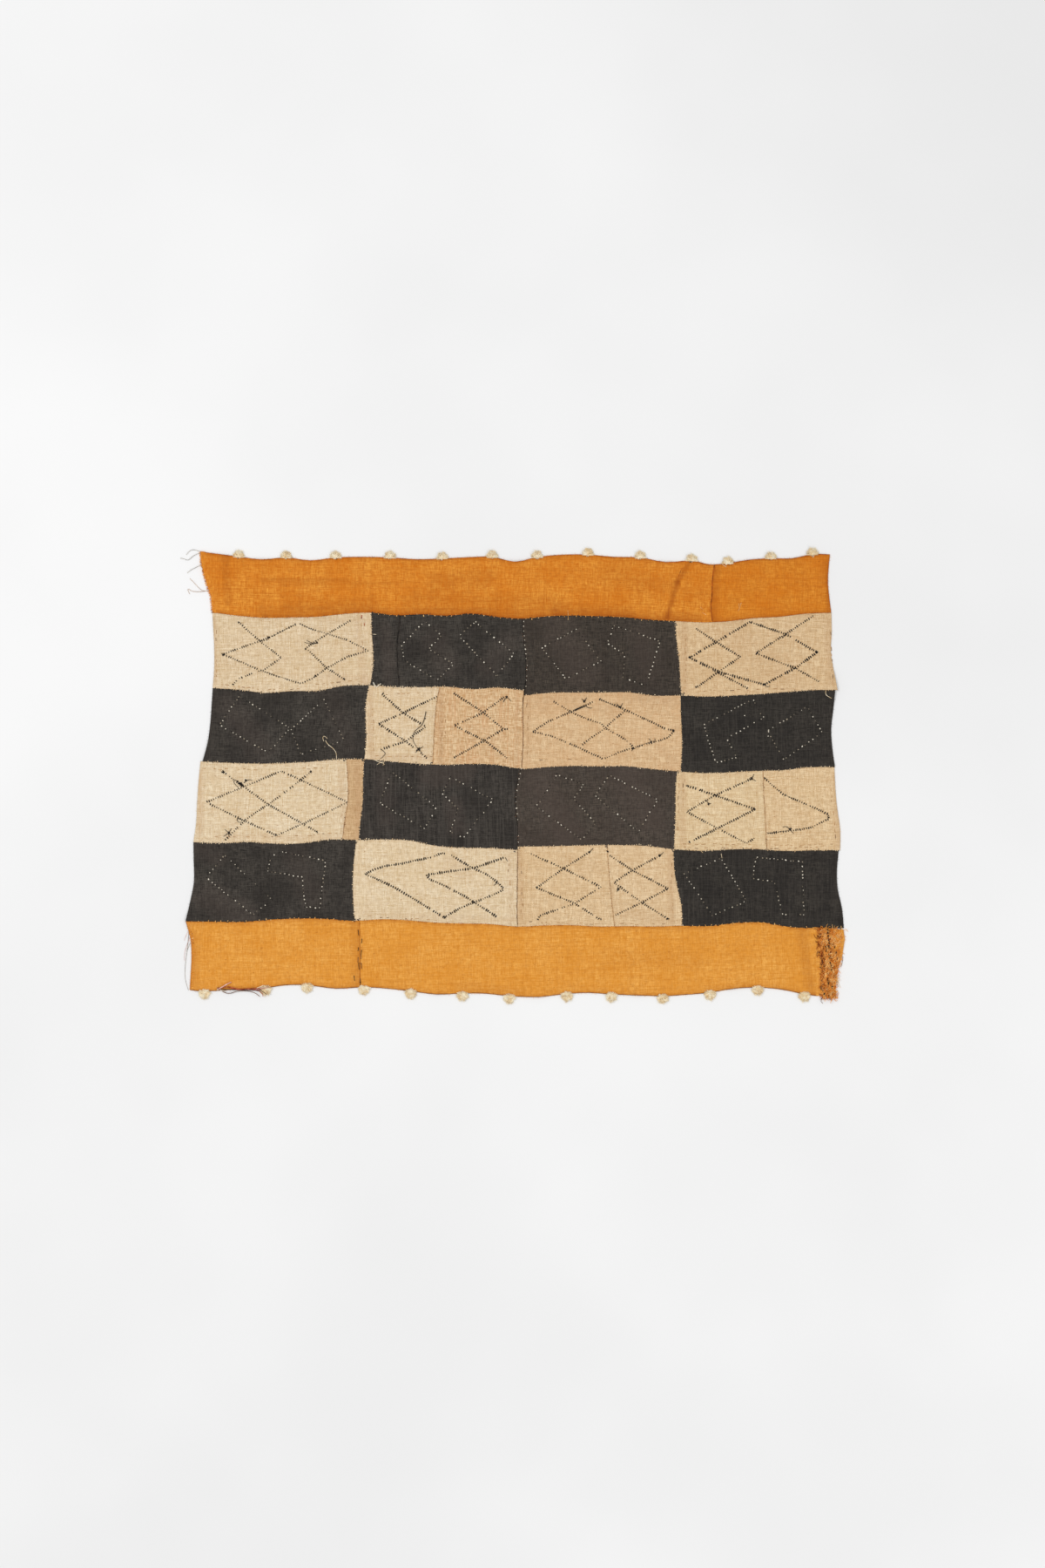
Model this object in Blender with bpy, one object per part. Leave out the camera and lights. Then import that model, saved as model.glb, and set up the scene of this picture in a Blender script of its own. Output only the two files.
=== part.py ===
# Patchwork raffia cloth, laid out flat.
# Four rows of stitched panels between two orange borders, with pompoms along both borders and frayed ends.
# Sizes are in millimetres and are made metres where a mesh is finished. X runs right, Y up the cloth, Z up.
# The cloth lies on z = 0, and the origin is the middle of its footprint.

import math
from collections import namedtuple

import bmesh
import bpy
from mathutils import Matrix, Vector

MM = 0.001
FOOTPRINT_MIDDLE = (1.0, 0.6)  # middle of everything built, measured from the patchwork's own datum

CLOTH_THICK = 1.4
HALF_GAP = 0.15  # each of two neighbours stays this far from their shared seam
GRID = 26.0  # spacing of the cuts that let a sheet follow its soft waves
CUT_SNAP = 0.5  # a corner this near a cut is taken as on it
WAVE_CUTS = (-0.5, 0.0, 0.5)  # cuts along a wave, in half widths from its crest
SMOOTH_STEPS = 2  # points added between two knots of a seam

# Straight lines that the seams and the panels' sides drift from
SEAM_HEIGHTS = (228.0, 123.0, 15.5, -99.5, -212.0)
TOP_EDGE_HEIGHT = 313.0
BOTTOM_EDGE_HEIGHT = -309.5
LINE_PLACES = {"left": -444.0, "a_b": -215.0, "b_c": 10.0, "c_d": 235.0, "right": 462.5}

# Drift of each seam above its straight line, at sixths of each panel's width
Seam = namedtuple("Seam", "number panel start d1 d2 d3 d4 d5 end")
SEAMS = (
    Seam(1, "a", 6.4, 1.4, -1.4, -0.9, 0.1, 4.3, 6.0),
    Seam(1, "b", 6.0, 1.9, 3.5, 1.3, 4.3, -0.3, -2.9),
    Seam(1, "c", -2.9, 0.6, 1.6, 0.6, -0.8, -4.5, -6.0),
    Seam(1, "d", -6.0, -8.0, -6.6, -1.9, 0.0, 4.4, 5.8),
    Seam(2, "a", 2.6, 0.3, -4.3, -1.6, -1.3, 5.9, 6.9),
    Seam(2, "b", 6.9, 4.3, 4.1, 4.8, 1.1, 3.4, -0.9),
    Seam(2, "c", -7.8, -3.9, -3.6, -3.5, -3.3, -8.1, -7.9),
    Seam(2, "d", -7.9, -9.6, -7.9, -6.0, -3.0, -0.4, -0.3),
    Seam(3, "a", 5.3, 3.1, 1.9, 2.4, 4.5, 7.8, 8.1),
    Seam(3, "b", 8.1, 5.0, 1.8, 0.1, 1.3, 0.3, -5.5),
    Seam(3, "c", -5.5, -3.0, -1.4, -2.1, -1.8, -6.0, -9.4),
    Seam(3, "d", -9.4, -11.8, -10.6, -8.5, -7.6, -3.3, -3.3),
    Seam(4, "a", 4.0, 2.9, 4.4, 2.0, 2.6, 7.9, 7.3),
    Seam(4, "b", 7.3, 8.0, 6.3, -1.5, -4.0, -4.4, -6.9),
    Seam(4, "c", -2.1, -1.8, -1.0, -0.3, 0.0, -1.3, -5.9),
    Seam(4, "d", -5.9, -8.3, -6.3, -5.9, -8.5, -7.6, -7.4),
    Seam(5, "a", 3.3, 2.9, 2.4, 5.6, 7.3, 6.8, 3.8),
    Seam(5, "b", 3.8, 6.1, 4.5, 1.1, -0.1, -0.9, -4.6),
    Seam(5, "c", -4.6, -2.8, -2.5, -4.5, -3.9, -4.5, -3.3),
    Seam(5, "d", -3.3, -3.5, 1.0, 1.6, -5.1, -6.4, -6.8),
)
STEPPED_SEAMS = (2, 4)  # these two jump where panels b and c meet

# Drift of each side line to the right of its straight line, from a row's top to its bottom
Side = namedtuple("Side", "row line top upper middle lower bottom")
SIDES = (
    Side(0, "left", -5.0, -3.5, 1.9, 9.3, 11.5),
    Side(0, "right", -8.8, -10.9, -11.6, -9.6, -6.9),
    Side(1, "left", 11.5, 13.1, 14.3, 14.1, 12.0),
    Side(1, "a_b", 10.6, 11.1, 13.0, 12.9, 9.1),
    Side(1, "b_c", 2.5, 3.9, 6.3, 7.5, 5.6),
    Side(1, "c_d", -3.3, -1.4, 2.0, 3.6, 5.3),
    Side(1, "right", -6.9, -6.4, -7.5, -3.5, 2.1),
    Side(2, "left", 12.0, 10.3, 8.3, 4.6, -2.5),
    Side(2, "a_b", 7.4, 2.8, 2.6, 3.4, 0.4),
    Side(2, "b_c", 4.4, 2.8, 3.6, 3.1, 1.3),
    Side(2, "c_d", 4.5, 4.8, 6.3, 6.3, 4.3),
    Side(2, "right", -1.6, -4.0, -7.0, -5.4, -1.6),
    Side(3, "left", -5.4, -8.3, -10.3, -11.6, -15.8),
    Side(3, "a_b", 0.4, -1.4, -1.6, -4.8, -7.6),
    Side(3, "b_c", 0.0, -6.3, -6.8, -4.3, -5.0),
    Side(3, "c_d", -0.6, -2.8, -2.9, -3.8, -5.0),
    Side(3, "right", -2.4, -1.1, 1.6, 5.8, 5.6),
    Side(4, "left", -15.8, -15.3, -15.0, -20.4, -26.9),
    Side(4, "a_b", -11.3, -14.3, -15.9, -15.3, -13.4),
    Side(4, "b_c", -4.4, -4.6, -4.8, -5.1, -4.6),
    Side(4, "c_d", -5.8, -4.9, -0.4, 5.9, 6.6),
    Side(4, "right", 3.8, 1.3, 2.4, 8.5, 11.1),
    Side(5, "left", -26.6, -20.1, -18.5, -19.6, -21.0),
    Side(5, "right", -26.9, -26.3, -28.1, -27.5, -26.3),
)

# Seams that run up through one panel and make two pieces of it: place, then drift as in SIDES
Split = namedtuple("Split", "row panel place top upper middle lower bottom")
SPLITS = (
    Split(0, "whole", 285.0, 3.1, 0.0, -0.5, -2.0, 0.0),
    Split(1, "b", -165.0, 2.3, -0.6, -2.5, -0.9, 0.8),
    Split(2, "b", -112.5, 5.9, 1.5, -0.9, -2.4, -3.8),
    Split(3, "a", -241.0, 1.4, 3.1, 3.5, -1.1, -4.9),
    Split(3, "d", 359.5, -1.6, -0.9, 0.6, 2.1, 3.6),
    Split(4, "c", 140.0, -5.5, -4.4, -1.4, 1.3, 4.8),
    Split(5, "whole", -220.5, -0.8, -0.4, 0.0, 0.2, 0.5),
)

# A pompom's place along its border, the edge's drift there, and the drift halfway to the next one
Pompom = namedtuple("Pompom", "along edge after")
TOP_CORNERS = (8.5, 4.5)  # drift of the edge at its left and right end
TOP_POMPOMS = (
    Pompom(-395.0, 1.4, -2.6),
    Pompom(-326.9, 0.1, -4.0),
    Pompom(-255.6, 0.1, 1.0),
    Pompom(-177.5, 0.1, -2.4),
    Pompom(-102.5, -1.4, 0.4),
    Pompom(-31.3, 1.1, -6.1),
    Pompom(33.8, 0.8, 4.1),
    Pompom(106.3, 4.1, 1.0),
    Pompom(181.3, 0.1, -6.5),
    Pompom(255.0, -4.3, -9.9),
    Pompom(307.5, -8.0, -3.0),
    Pompom(368.8, -1.1, -1.1),
    Pompom(428.8, 4.8, 4.6),
)
BOTTOM_CORNERS = (2.0, -6.8)
BOTTOM_POMPOMS = (
    Pompom(-443.8, 0.1, 2.6),
    Pompom(-356.3, 5.1, 8.9),
    Pompom(-296.3, 8.9, 3.9),
    Pompom(-215.0, 5.8, 3.9),
    Pompom(-147.5, 0.1, -4.3),
    Pompom(-73.8, -3.0, -3.3),
    Pompom(-6.3, -6.8, -8.0),
    Pompom(76.3, -3.6, -2.1),
    Pompom(140.0, -4.3, -5.8),
    Pompom(213.8, -6.8, -4.9),
    Pompom(281.3, -1.8, 3.9),
    Pompom(350.0, 5.4, 2.6),
    Pompom(417.5, -4.3, -6.0),
)
POMPOM_WIDTH = 20.0
POMPOM_REACH = 10.5  # how far its fibres stand out past the edge
POMPOM_HEIGHT = 7.5
POMPOM_SIDES = 5  # sides of its head's outer half, each with one low lock
POMPOM_HIGH_LOCKS = (0, 2, 4)  # sides that carry a second lock above the first
POMPOM_HEAD = 0.42  # its head's share of its size
POMPOM_SEAT = 0.55  # share of its width that sits against the edge
POMPOM_STOREY = 0.3  # height of the head's upright wall, and of the sloping one above, by the same measure
POMPOM_CROWN = 0.6  # how far the sloping wall draws in
LOCK_STEPS = 2
LOCK_TAPER = 0.7
HIGH_LOCK_RISE = 0.55
HIGH_LOCK_SHARE = 0.72  # its length beside a low lock's

# Soft waves that lift the cloth off the surface; it lies flat everywhere else
Wave = namedtuple("Wave", "x y half_length half_width turn height")
WAVES = (
    Wave(229.0, 257.0, 46.0, 9.0, 70.0, 4.5),  # crease across the top border
    Wave(-425.0, 300.0, 40.0, 24.0, 20.0, 4.0),  # lifted top left corner
    Wave(-361.0, 296.0, 30.0, 20.0, 90.0, 2.5),
    Wave(2.0, 292.0, 34.0, 20.0, 90.0, 3.0),
    Wave(218.0, 296.0, 26.0, 16.0, 90.0, 2.5),
    Wave(-113.0, -294.0, 36.0, 20.0, 90.0, 3.0),
    Wave(34.0, -296.0, 40.0, 22.0, 90.0, 3.5),
    Wave(176.0, -298.0, 36.0, 20.0, 90.0, 3.0),
    Wave(316.0, -292.0, 30.0, 20.0, 90.0, 2.5),
    Wave(455.0, 128.0, 34.0, 22.0, 80.0, 3.5),  # corner that juts out at the right side
    Wave(-430.0, 30.0, 44.0, 20.0, 85.0, 3.0),
    Wave(-455.0, -205.0, 30.0, 22.0, 40.0, 3.5),
    Wave(10.0, 124.0, 40.0, 12.0, 95.0, 2.5),  # pucker where two seams step
    Wave(6.0, -100.0, 36.0, 12.0, 88.0, 2.5),
    Wave(-165.0, 178.0, 46.0, 8.0, 92.0, 2.0),  # raised join beside the dark strip
    Wave(-300.0, -30.0, 60.0, 16.0, 12.0, 1.8),
    Wave(330.0, 60.0, 60.0, 18.0, -18.0, 2.0),
    Wave(300.0, -160.0, 56.0, 16.0, 24.0, 2.0),
)

# A fringe's strip is cut from the end of its border; its strands run level on the surface
Fringe = namedtuple("Fringe", "name line row below_seam strip_width strands reach uneven spread outward")
FRINGES = (
    Fringe("fringe_top_left", "left", 0, 0.3, 3.0, 14, 17.0, 0.5, 2.4, -1.0),
    Fringe("fringe_bottom_right", "right", 5, 4.0, 9.0, 26, 25.0, 0.25, 3.0, 1.0),
)
STRAND_HEIGHT = 1.2
STRAND_STEPS = 3
STRAND_TAPER = 0.72  # width kept at each step
TANGLE_LEFT = -430.0  # left end of the thread tangle, just below the bottom edge
TANGLE_KNOT = (8.0, 7.0, 1.8)  # its knot's length, depth and height
TANGLE_STRANDS = 4
TANGLE_REACH = 38.0  # of its top strand
TANGLE_FAN = 0.03  # slope added from one strand to the next
TANGLE_TAPER = 0.8  # width kept at each step
TANGLE_GROWTH = 0.1  # how much longer each strand is than the one above it

Finish = namedtuple("Finish", "color roughness")
FINISHES = {
    "dark_raffia": Finish((0.045, 0.038, 0.032), 0.85),
    "natural_raffia": Finish((0.70, 0.53, 0.31), 0.8),
    "tan_raffia": Finish((0.62, 0.42, 0.21), 0.8),
    "orange_raffia": Finish((0.68, 0.27, 0.04), 0.8),
    "cream_tuft": Finish((0.79, 0.60, 0.35), 0.9),
    "frayed_raffia": Finish((0.42, 0.19, 0.05), 0.9),
}

# Node name, row, panel, which piece of a split panel, finish
Piece = namedtuple("Piece", "name row panel part finish")
PIECES = (
    Piece("border_top_left", 0, "whole", "left", "orange_raffia"),
    Piece("border_top_right", 0, "whole", "right", "orange_raffia"),
    Piece("panel_1a", 1, "a", "whole", "natural_raffia"),
    Piece("strip_1b", 1, "b", "left", "dark_raffia"),
    Piece("panel_1b", 1, "b", "right", "dark_raffia"),
    Piece("panel_1c", 1, "c", "whole", "dark_raffia"),
    Piece("panel_1d", 1, "d", "whole", "tan_raffia"),
    Piece("panel_2a", 2, "a", "whole", "dark_raffia"),
    Piece("panel_2b_light", 2, "b", "left", "natural_raffia"),
    Piece("panel_2b_tan", 2, "b", "right", "tan_raffia"),
    Piece("panel_2c", 2, "c", "whole", "tan_raffia"),
    Piece("panel_2d", 2, "d", "whole", "dark_raffia"),
    Piece("panel_3a", 3, "a", "left", "natural_raffia"),
    Piece("strip_3a", 3, "a", "right", "tan_raffia"),
    Piece("panel_3b", 3, "b", "whole", "dark_raffia"),
    Piece("panel_3c", 3, "c", "whole", "dark_raffia"),
    Piece("panel_3d_left", 3, "d", "left", "natural_raffia"),
    Piece("panel_3d_right", 3, "d", "right", "natural_raffia"),
    Piece("panel_4a", 4, "a", "whole", "dark_raffia"),
    Piece("panel_4b", 4, "b", "whole", "natural_raffia"),
    Piece("panel_4c_left", 4, "c", "left", "natural_raffia"),
    Piece("panel_4c_right", 4, "c", "right", "natural_raffia"),
    Piece("panel_4d", 4, "d", "whole", "dark_raffia"),
    Piece("border_bottom_left", 5, "whole", "left", "orange_raffia"),
    Piece("border_bottom_right", 5, "whole", "right", "orange_raffia"),
)
PANEL_LINES = {
    "a": ("left", "a_b"),
    "b": ("a_b", "b_c"),
    "c": ("b_c", "c_d"),
    "d": ("c_d", "right"),
    "whole": ("left", "right"),
}


# Lines of the patchwork

def smooth_line(knots):
    """The knots joined by a smooth curve, as points."""
    points = [Vector(knots[0])]
    for i in range(len(knots) - 1):
        before = Vector(knots[max(i - 1, 0)])
        start, end = Vector(knots[i]), Vector(knots[i + 1])
        after = Vector(knots[min(i + 2, len(knots) - 1)])
        for step in range(1, SMOOTH_STEPS + 2):
            t = step / (SMOOTH_STEPS + 1)
            pull = (end - before) * (t - 2 * t**2 + t**3) + (after - start) * (t**3 - t**2)
            points.append(start.lerp(end, 3 * t**2 - 2 * t**3) + pull / 2)
    return points


def height_on(line, x):
    """The line's height at x; past its ends it goes on level."""
    for left, right in zip(line, line[1:]):
        if left.x <= x <= right.x:
            return left.y + (right.y - left.y) * (x - left.x) / (right.x - left.x)
    return line[0].y if x < line[0].x else line[-1].y


def side_end(row, line, end):
    """Where a side line meets the seam above (top) or below (bottom) its row."""
    found = next(s for s in SIDES if (s.row, s.line) == (row, line))
    return LINE_PLACES[line] + getattr(found, end)


def seam_place(number, line):
    """The x where a side line crosses a seam: midway between two rows' ends, or the outer one at a side."""
    rows = [s for s in SIDES if s.line == line]
    ends = [LINE_PLACES[line] + s.bottom for s in rows if s.row == number - 1]
    ends += [LINE_PLACES[line] + s.top for s in rows if s.row == number]
    if line == "left":
        return min(ends)
    if line == "right":
        return max(ends)
    return sum(ends) / len(ends)


def seam_runs(number):
    """The seam as one smooth line, or as two where it steps."""
    groups = (("a", "b"), ("c", "d")) if number in STEPPED_SEAMS else (("a", "b", "c", "d"),)
    runs = []
    for panels in groups:
        knots = []
        for row in (s for s in SEAMS if s.number == number and s.panel in panels):
            left, right = (seam_place(number, line) for line in PANEL_LINES[row.panel])
            drifts = row[2:]
            first = 1 if knots else 0
            for i in range(first, len(drifts)):
                x = left + (right - left) * i / (len(drifts) - 1)
                knots.append((x, SEAM_HEIGHTS[number - 1] + drifts[i]))
        runs.append(smooth_line(knots))
    return runs


def edge_line(pompoms, corners, height, ends):
    """A border's outer edge, which dips or swells between its pompoms."""
    knots = [(ends[0], height + corners[0])]
    for i, pompom in enumerate(pompoms):
        knots.append((pompom.along, height + pompom.edge))
        if i < len(pompoms) - 1:
            knots.append(((pompom.along + pompoms[i + 1].along) / 2, height + pompom.after))
    knots.append((ends[1], height + corners[1]))
    return smooth_line(knots)


SEAM_LINES = {number: seam_runs(number) for number in range(1, 6)}
TOP_EDGE = edge_line(
    TOP_POMPOMS,
    TOP_CORNERS,
    TOP_EDGE_HEIGHT,
    (side_end(0, "left", "top"), side_end(0, "right", "top")),
)
BOTTOM_EDGE = edge_line(
    BOTTOM_POMPOMS,
    BOTTOM_CORNERS,
    BOTTOM_EDGE_HEIGHT,
    (side_end(5, "left", "bottom"), side_end(5, "right", "bottom")),
)


def run_for(number, panel):
    """The line above row `number`, as the given panel meets it."""
    if number == 0:
        return TOP_EDGE
    if number == 6:
        return BOTTOM_EDGE
    runs = SEAM_LINES[number]
    return runs[-1] if panel in ("c", "d") else runs[0]


def side_line(row, panel, place, drifts):
    """A side line of one row, from the seam above to the seam below, top to bottom."""
    x_top, x_bottom = place + drifts[0], place + drifts[-1]
    top = height_on(run_for(row, panel), x_top)
    bottom = height_on(run_for(row + 1, panel), x_bottom)
    last = len(drifts) - 1
    knots = [(place + drift, top + (bottom - top) * i / last) for i, drift in enumerate(drifts)]
    return smooth_line(knots)


def stretch(line, start, end):
    """The part of a line between two x, left to right, with its own points kept."""
    inner = [p for p in line if start + CUT_SNAP < p.x < end - CUT_SNAP]
    return [Vector((start, height_on(line, start))), *inner, Vector((end, height_on(line, end)))]


# Sheets

def lift(x, y):
    """How far the cloth's underside stands off the surface at a point."""
    highest = 0.0
    for wave in WAVES:
        turn = math.radians(wave.turn)
        dx, dy = x - wave.x, y - wave.y
        along = (dx * math.cos(turn) + dy * math.sin(turn)) / wave.half_length
        across = (dy * math.cos(turn) - dx * math.sin(turn)) / wave.half_width
        far = math.hypot(along, across)
        if far < 1:
            highest = max(highest, wave.height * math.cos(far * math.pi / 2) ** 2)
    return highest


def outline_of(piece):
    """A piece's outline, clockwise from its top left corner, with its half of each seam's gap."""
    left_name, right_name = PANEL_LINES[piece.panel]
    sides = {s.line: s for s in SIDES if s.row == piece.row}
    left_panel = "a" if piece.panel == "whole" else piece.panel
    right_panel = "d" if piece.panel == "whole" else piece.panel
    left = side_line(piece.row, left_panel, LINE_PLACES[left_name], sides[left_name][2:])
    right = side_line(piece.row, right_panel, LINE_PLACES[right_name], sides[right_name][2:])
    if piece.part != "whole":
        split = next(s for s in SPLITS if (s.row, s.panel) == (piece.row, piece.panel))
        middle_panel = left_panel if split.place < 0 else right_panel
        middle = side_line(piece.row, middle_panel, split.place, split[3:])
        left, right = (left, middle) if piece.part == "left" else (middle, right)
    for fringe in FRINGES:
        if (fringe.row, fringe.line) == (piece.row, "left") and piece.part == "left":
            left = [p + Vector((fringe.strip_width + HALF_GAP, 0)) for p in left]
    top = stretch(run_for(piece.row, left_panel), left[0].x, right[0].x)
    bottom = stretch(run_for(piece.row + 1, left_panel), left[-1].x, right[-1].x)
    return inset_outline(top, right, bottom, left)


def inset_outline(top, right, bottom, left):
    """Moves the four sides in by half a gap and joins them, clockwise, corners once."""
    in_x, in_y = Vector((HALF_GAP, 0)), Vector((0, HALF_GAP))
    corners = (
        top[0] + in_x - in_y,
        top[-1] - in_x - in_y,
        bottom[-1] - in_x + in_y,
        bottom[0] + in_x + in_y,
    )
    return [
        corners[0],
        *[p - in_y for p in top[1:-1]],
        corners[1],
        *[p - in_x for p in right[1:-1]],
        corners[2],
        *[p + in_y for p in reversed(bottom[1:-1])],
        corners[3],
        *[p + in_x for p in reversed(left[1:-1])],
    ]


def cut_along(mesh, faces, point, normal):
    geom = {g for f in faces for g in (f, *f.edges, *f.verts)}
    bmesh.ops.bisect_plane(mesh, geom=list(geom), dist=CUT_SNAP, plane_co=point, plane_no=normal)


def cut_in_cells(mesh):
    """Cuts a flat sheet along a square grid and along its waves, so that it can follow them."""
    for axis in (0, 1):
        places = [v.co[axis] for v in mesh.verts]
        for i in range(math.ceil(min(places) / GRID), math.floor(max(places) / GRID) + 1):
            point, normal = Vector((0, 0, 0)), Vector((0, 0, 0))
            point[axis] = i * GRID
            normal[axis] = 1.0
            cut_along(mesh, mesh.faces[:], point, normal)
    for wave in WAVES:
        turn = math.radians(wave.turn)
        across = Vector((-math.sin(turn), math.cos(turn), 0))
        centre = Vector((wave.x, wave.y, 0))
        for offset in WAVE_CUTS:
            near = [f for f in mesh.faces if any(lift(v.co.x, v.co.y) > 0 for v in f.verts)]
            near = [f for f in near if (f.calc_center_median() - centre).length < wave.half_length + GRID]
            if near:
                cut_along(mesh, near, centre + across * offset * wave.half_width, across)
    bmesh.ops.triangulate(mesh, faces=mesh.faces)


def thicken(mesh, thick):
    """Makes a flat sheet a solid with upright walls."""
    raised = bmesh.ops.extrude_face_region(mesh, geom=mesh.faces[:], use_keep_orig=True)["geom"]
    upper = [v for v in raised if isinstance(v, bmesh.types.BMVert)]
    bmesh.ops.translate(mesh, verts=upper, vec=(0, 0, thick))
    bmesh.ops.recalc_face_normals(mesh, faces=mesh.faces)


def add_object(name, mesh, finish, collection):
    """Turns a mesh drawn in millimetres into a named object in metres."""
    bmesh.ops.translate(mesh, verts=mesh.verts, vec=(-FOOTPRINT_MIDDLE[0], -FOOTPRINT_MIDDLE[1], 0))
    bmesh.ops.transform(mesh, matrix=Matrix.Scale(MM, 4), verts=mesh.verts)
    data = bpy.data.meshes.new(name)
    mesh.to_mesh(data)
    mesh.free()
    data.materials.append(material_for(name, finish))
    made = bpy.data.objects.new(name, data)
    collection.objects.link(made)
    return made


def material_for(name, finish):
    material = bpy.data.materials.new(f"{name}_{finish}")
    material.use_nodes = True
    shader = material.node_tree.nodes["Principled BSDF"]
    shader.inputs["Base Color"].default_value = (*FINISHES[finish].color, 1)
    shader.inputs["Roughness"].default_value = FINISHES[finish].roughness
    shader.inputs["Metallic"].default_value = 0.0
    return material


def make_sheet(piece, collection):
    mesh = bmesh.new()
    corners = [mesh.verts.new((*p, 0)) for p in outline_of(piece)]
    mesh.faces.new(corners)
    cut_in_cells(mesh)
    thicken(mesh, CLOTH_THICK)
    for vertex in mesh.verts:
        vertex.co.z += lift(vertex.co.x, vertex.co.y)
    return add_object(piece.name, mesh, piece.finish, collection)


# Pompoms

def grow_lock(mesh, face, heading, length, steps, keep):
    """Draws one lock of fibres out of a face of its head, thinner at each step."""
    for _ in range(steps):
        grown = bmesh.ops.extrude_discrete_faces(mesh, faces=[face])
        face = grown["faces"][0]
        bmesh.ops.translate(mesh, verts=face.verts, vec=heading * (length / steps))
        base = min(v.co.z for v in face.verts)
        middle = face.calc_center_median()
        for vertex in face.verts:
            vertex.co.x = middle.x + (vertex.co.x - middle.x) * keep
            vertex.co.y = middle.y + (vertex.co.y - middle.y) * keep
            vertex.co.z = base + (vertex.co.z - base) * keep


def make_pompom(name, pompom, line, outward, collection):
    """A flattened half ball of fibres, its back against the edge and its low locks level on the surface."""
    half = POMPOM_WIDTH / 2
    seat = half * POMPOM_SEAT
    left, right = (height_on(line, pompom.along + side * seat) for side in (-1, 1))
    slope, middle = (right - left) / (2 * seat), (left + right) / 2
    near = [p for p in line if abs(p.x - pompom.along) < seat]
    bulges = [outward * (p.y - middle - slope * (p.x - pompom.along)) for p in near]
    base = middle + outward * (max(bulges, default=0) + 2 * HALF_GAP)
    storey = POMPOM_HEIGHT * POMPOM_STOREY
    mesh = bmesh.new()
    rim = []
    for i in range(POMPOM_SIDES + 1):
        angle = math.pi * i / POMPOM_SIDES
        across, out = math.cos(angle) * half, math.sin(angle) * POMPOM_REACH
        rim.append(mesh.verts.new((across * POMPOM_HEAD, out * POMPOM_HEAD, 0)))
    mesh.faces.new(rim)
    thicken(mesh, storey)
    cap = max(mesh.faces, key=lambda f: f.calc_center_median().z)
    crown = bmesh.ops.extrude_discrete_faces(mesh, faces=[cap])["faces"][0]
    bmesh.ops.translate(mesh, verts=crown.verts, vec=(0, 0, storey))
    bmesh.ops.scale(mesh, verts=crown.verts, vec=(POMPOM_CROWN, POMPOM_CROWN, 1))
    bmesh.ops.recalc_face_normals(mesh, faces=mesh.faces)
    grow_pompom_locks(mesh, half)
    turn = math.atan(slope) + (math.pi if outward < 0 else 0)
    bmesh.ops.rotate(mesh, verts=mesh.verts, cent=(0, 0, 0), matrix=Matrix.Rotation(turn, 3, "Z"))
    bmesh.ops.translate(mesh, verts=mesh.verts, vec=(pompom.along, base, 0))
    return add_object(name, mesh, "cream_tuft", collection)


def grow_pompom_locks(mesh, half):
    """One low lock on each upright side of the head, and a higher one on some of the sloping sides."""
    sides = [f for f in mesh.faces if f.normal.y > 0.05 and abs(f.normal.z) < 0.95]
    sides = sorted(sides, key=lambda f: -f.calc_center_median().x)
    low = [f for f in sides if abs(f.normal.z) < 0.1]
    high = [f for f in sides if f.normal.z > 0.1]
    jobs = [(face, i, 0.0, 1.0) for i, face in enumerate(low)]
    jobs += [(high[i], i, HIGH_LOCK_RISE, HIGH_LOCK_SHARE) for i in POMPOM_HIGH_LOCKS]
    for face, i, rise, share in jobs:
        angle = math.pi * (i + 0.5) / POMPOM_SIDES
        reach = Vector((math.cos(angle) * half, math.sin(angle) * POMPOM_REACH, 0)) * (1 - POMPOM_HEAD)
        heading = (reach.normalized() + Vector((0, 0, rise))).normalized()
        grow_lock(mesh, face, heading, reach.length * share, LOCK_STEPS, LOCK_TAPER)


# Frayed ends

def strand_roots(mesh, outward):
    """Every second face of a strip's outer wall, top to bottom, so that strands stand apart."""
    walls = [f for f in mesh.faces if abs(f.normal.z) < 0.1 and f.normal.x * outward > 0.5]
    return sorted(walls, key=lambda f: -f.calc_center_median().y)[::2]


def make_fringe(fringe, collection):
    """A strip parted from its border's end, with strands that run out level from it."""
    side = next(s for s in SIDES if (s.row, s.line) == (fringe.row, fringe.line))
    panel = "a" if fringe.line == "left" else "d"
    edge = side_line(fringe.row, panel, LINE_PLACES[fringe.line], side[2:])
    top, bottom = edge[0].y - fringe.below_seam, edge[-1].y + 2 * HALF_GAP
    faces_along = 2 * fringe.strands - 1
    inner, outer = [], []
    for i in range(faces_along + 1):
        y = top + (bottom - top) * i / faces_along
        x = side_place(edge, y)
        if fringe.outward < 0:
            ends = (x + fringe.strip_width - HALF_GAP, x)
        else:
            ends = (x + HALF_GAP, x + fringe.strip_width)
        inner.append((ends[0], y, 0))
        outer.append((ends[1], y, 0))
    mesh = bmesh.new()
    mesh.faces.new([mesh.verts.new(p) for p in outer + inner[::-1]])
    thicken(mesh, STRAND_HEIGHT)
    for i, face in enumerate(strand_roots(mesh, fringe.outward)):
        length = fringe.reach * (1 + fringe.uneven * math.sin(i * 1.7))
        slope = fringe.spread / fringe.reach * math.sin(i * 0.5)
        heading = Vector((fringe.outward, slope, 0)).normalized()
        grow_lock(mesh, face, heading, length, STRAND_STEPS, STRAND_TAPER)
    return add_object(fringe.name, mesh, "frayed_raffia", collection)


def side_place(edge, y):
    """The x of a side line at a height; past its ends it goes on upright."""
    for above, below in zip(edge, edge[1:]):
        if below.y <= y <= above.y:
            return above.x + (below.x - above.x) * (y - above.y) / (below.y - above.y)
    return edge[0].x if y > edge[0].y else edge[-1].x


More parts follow.
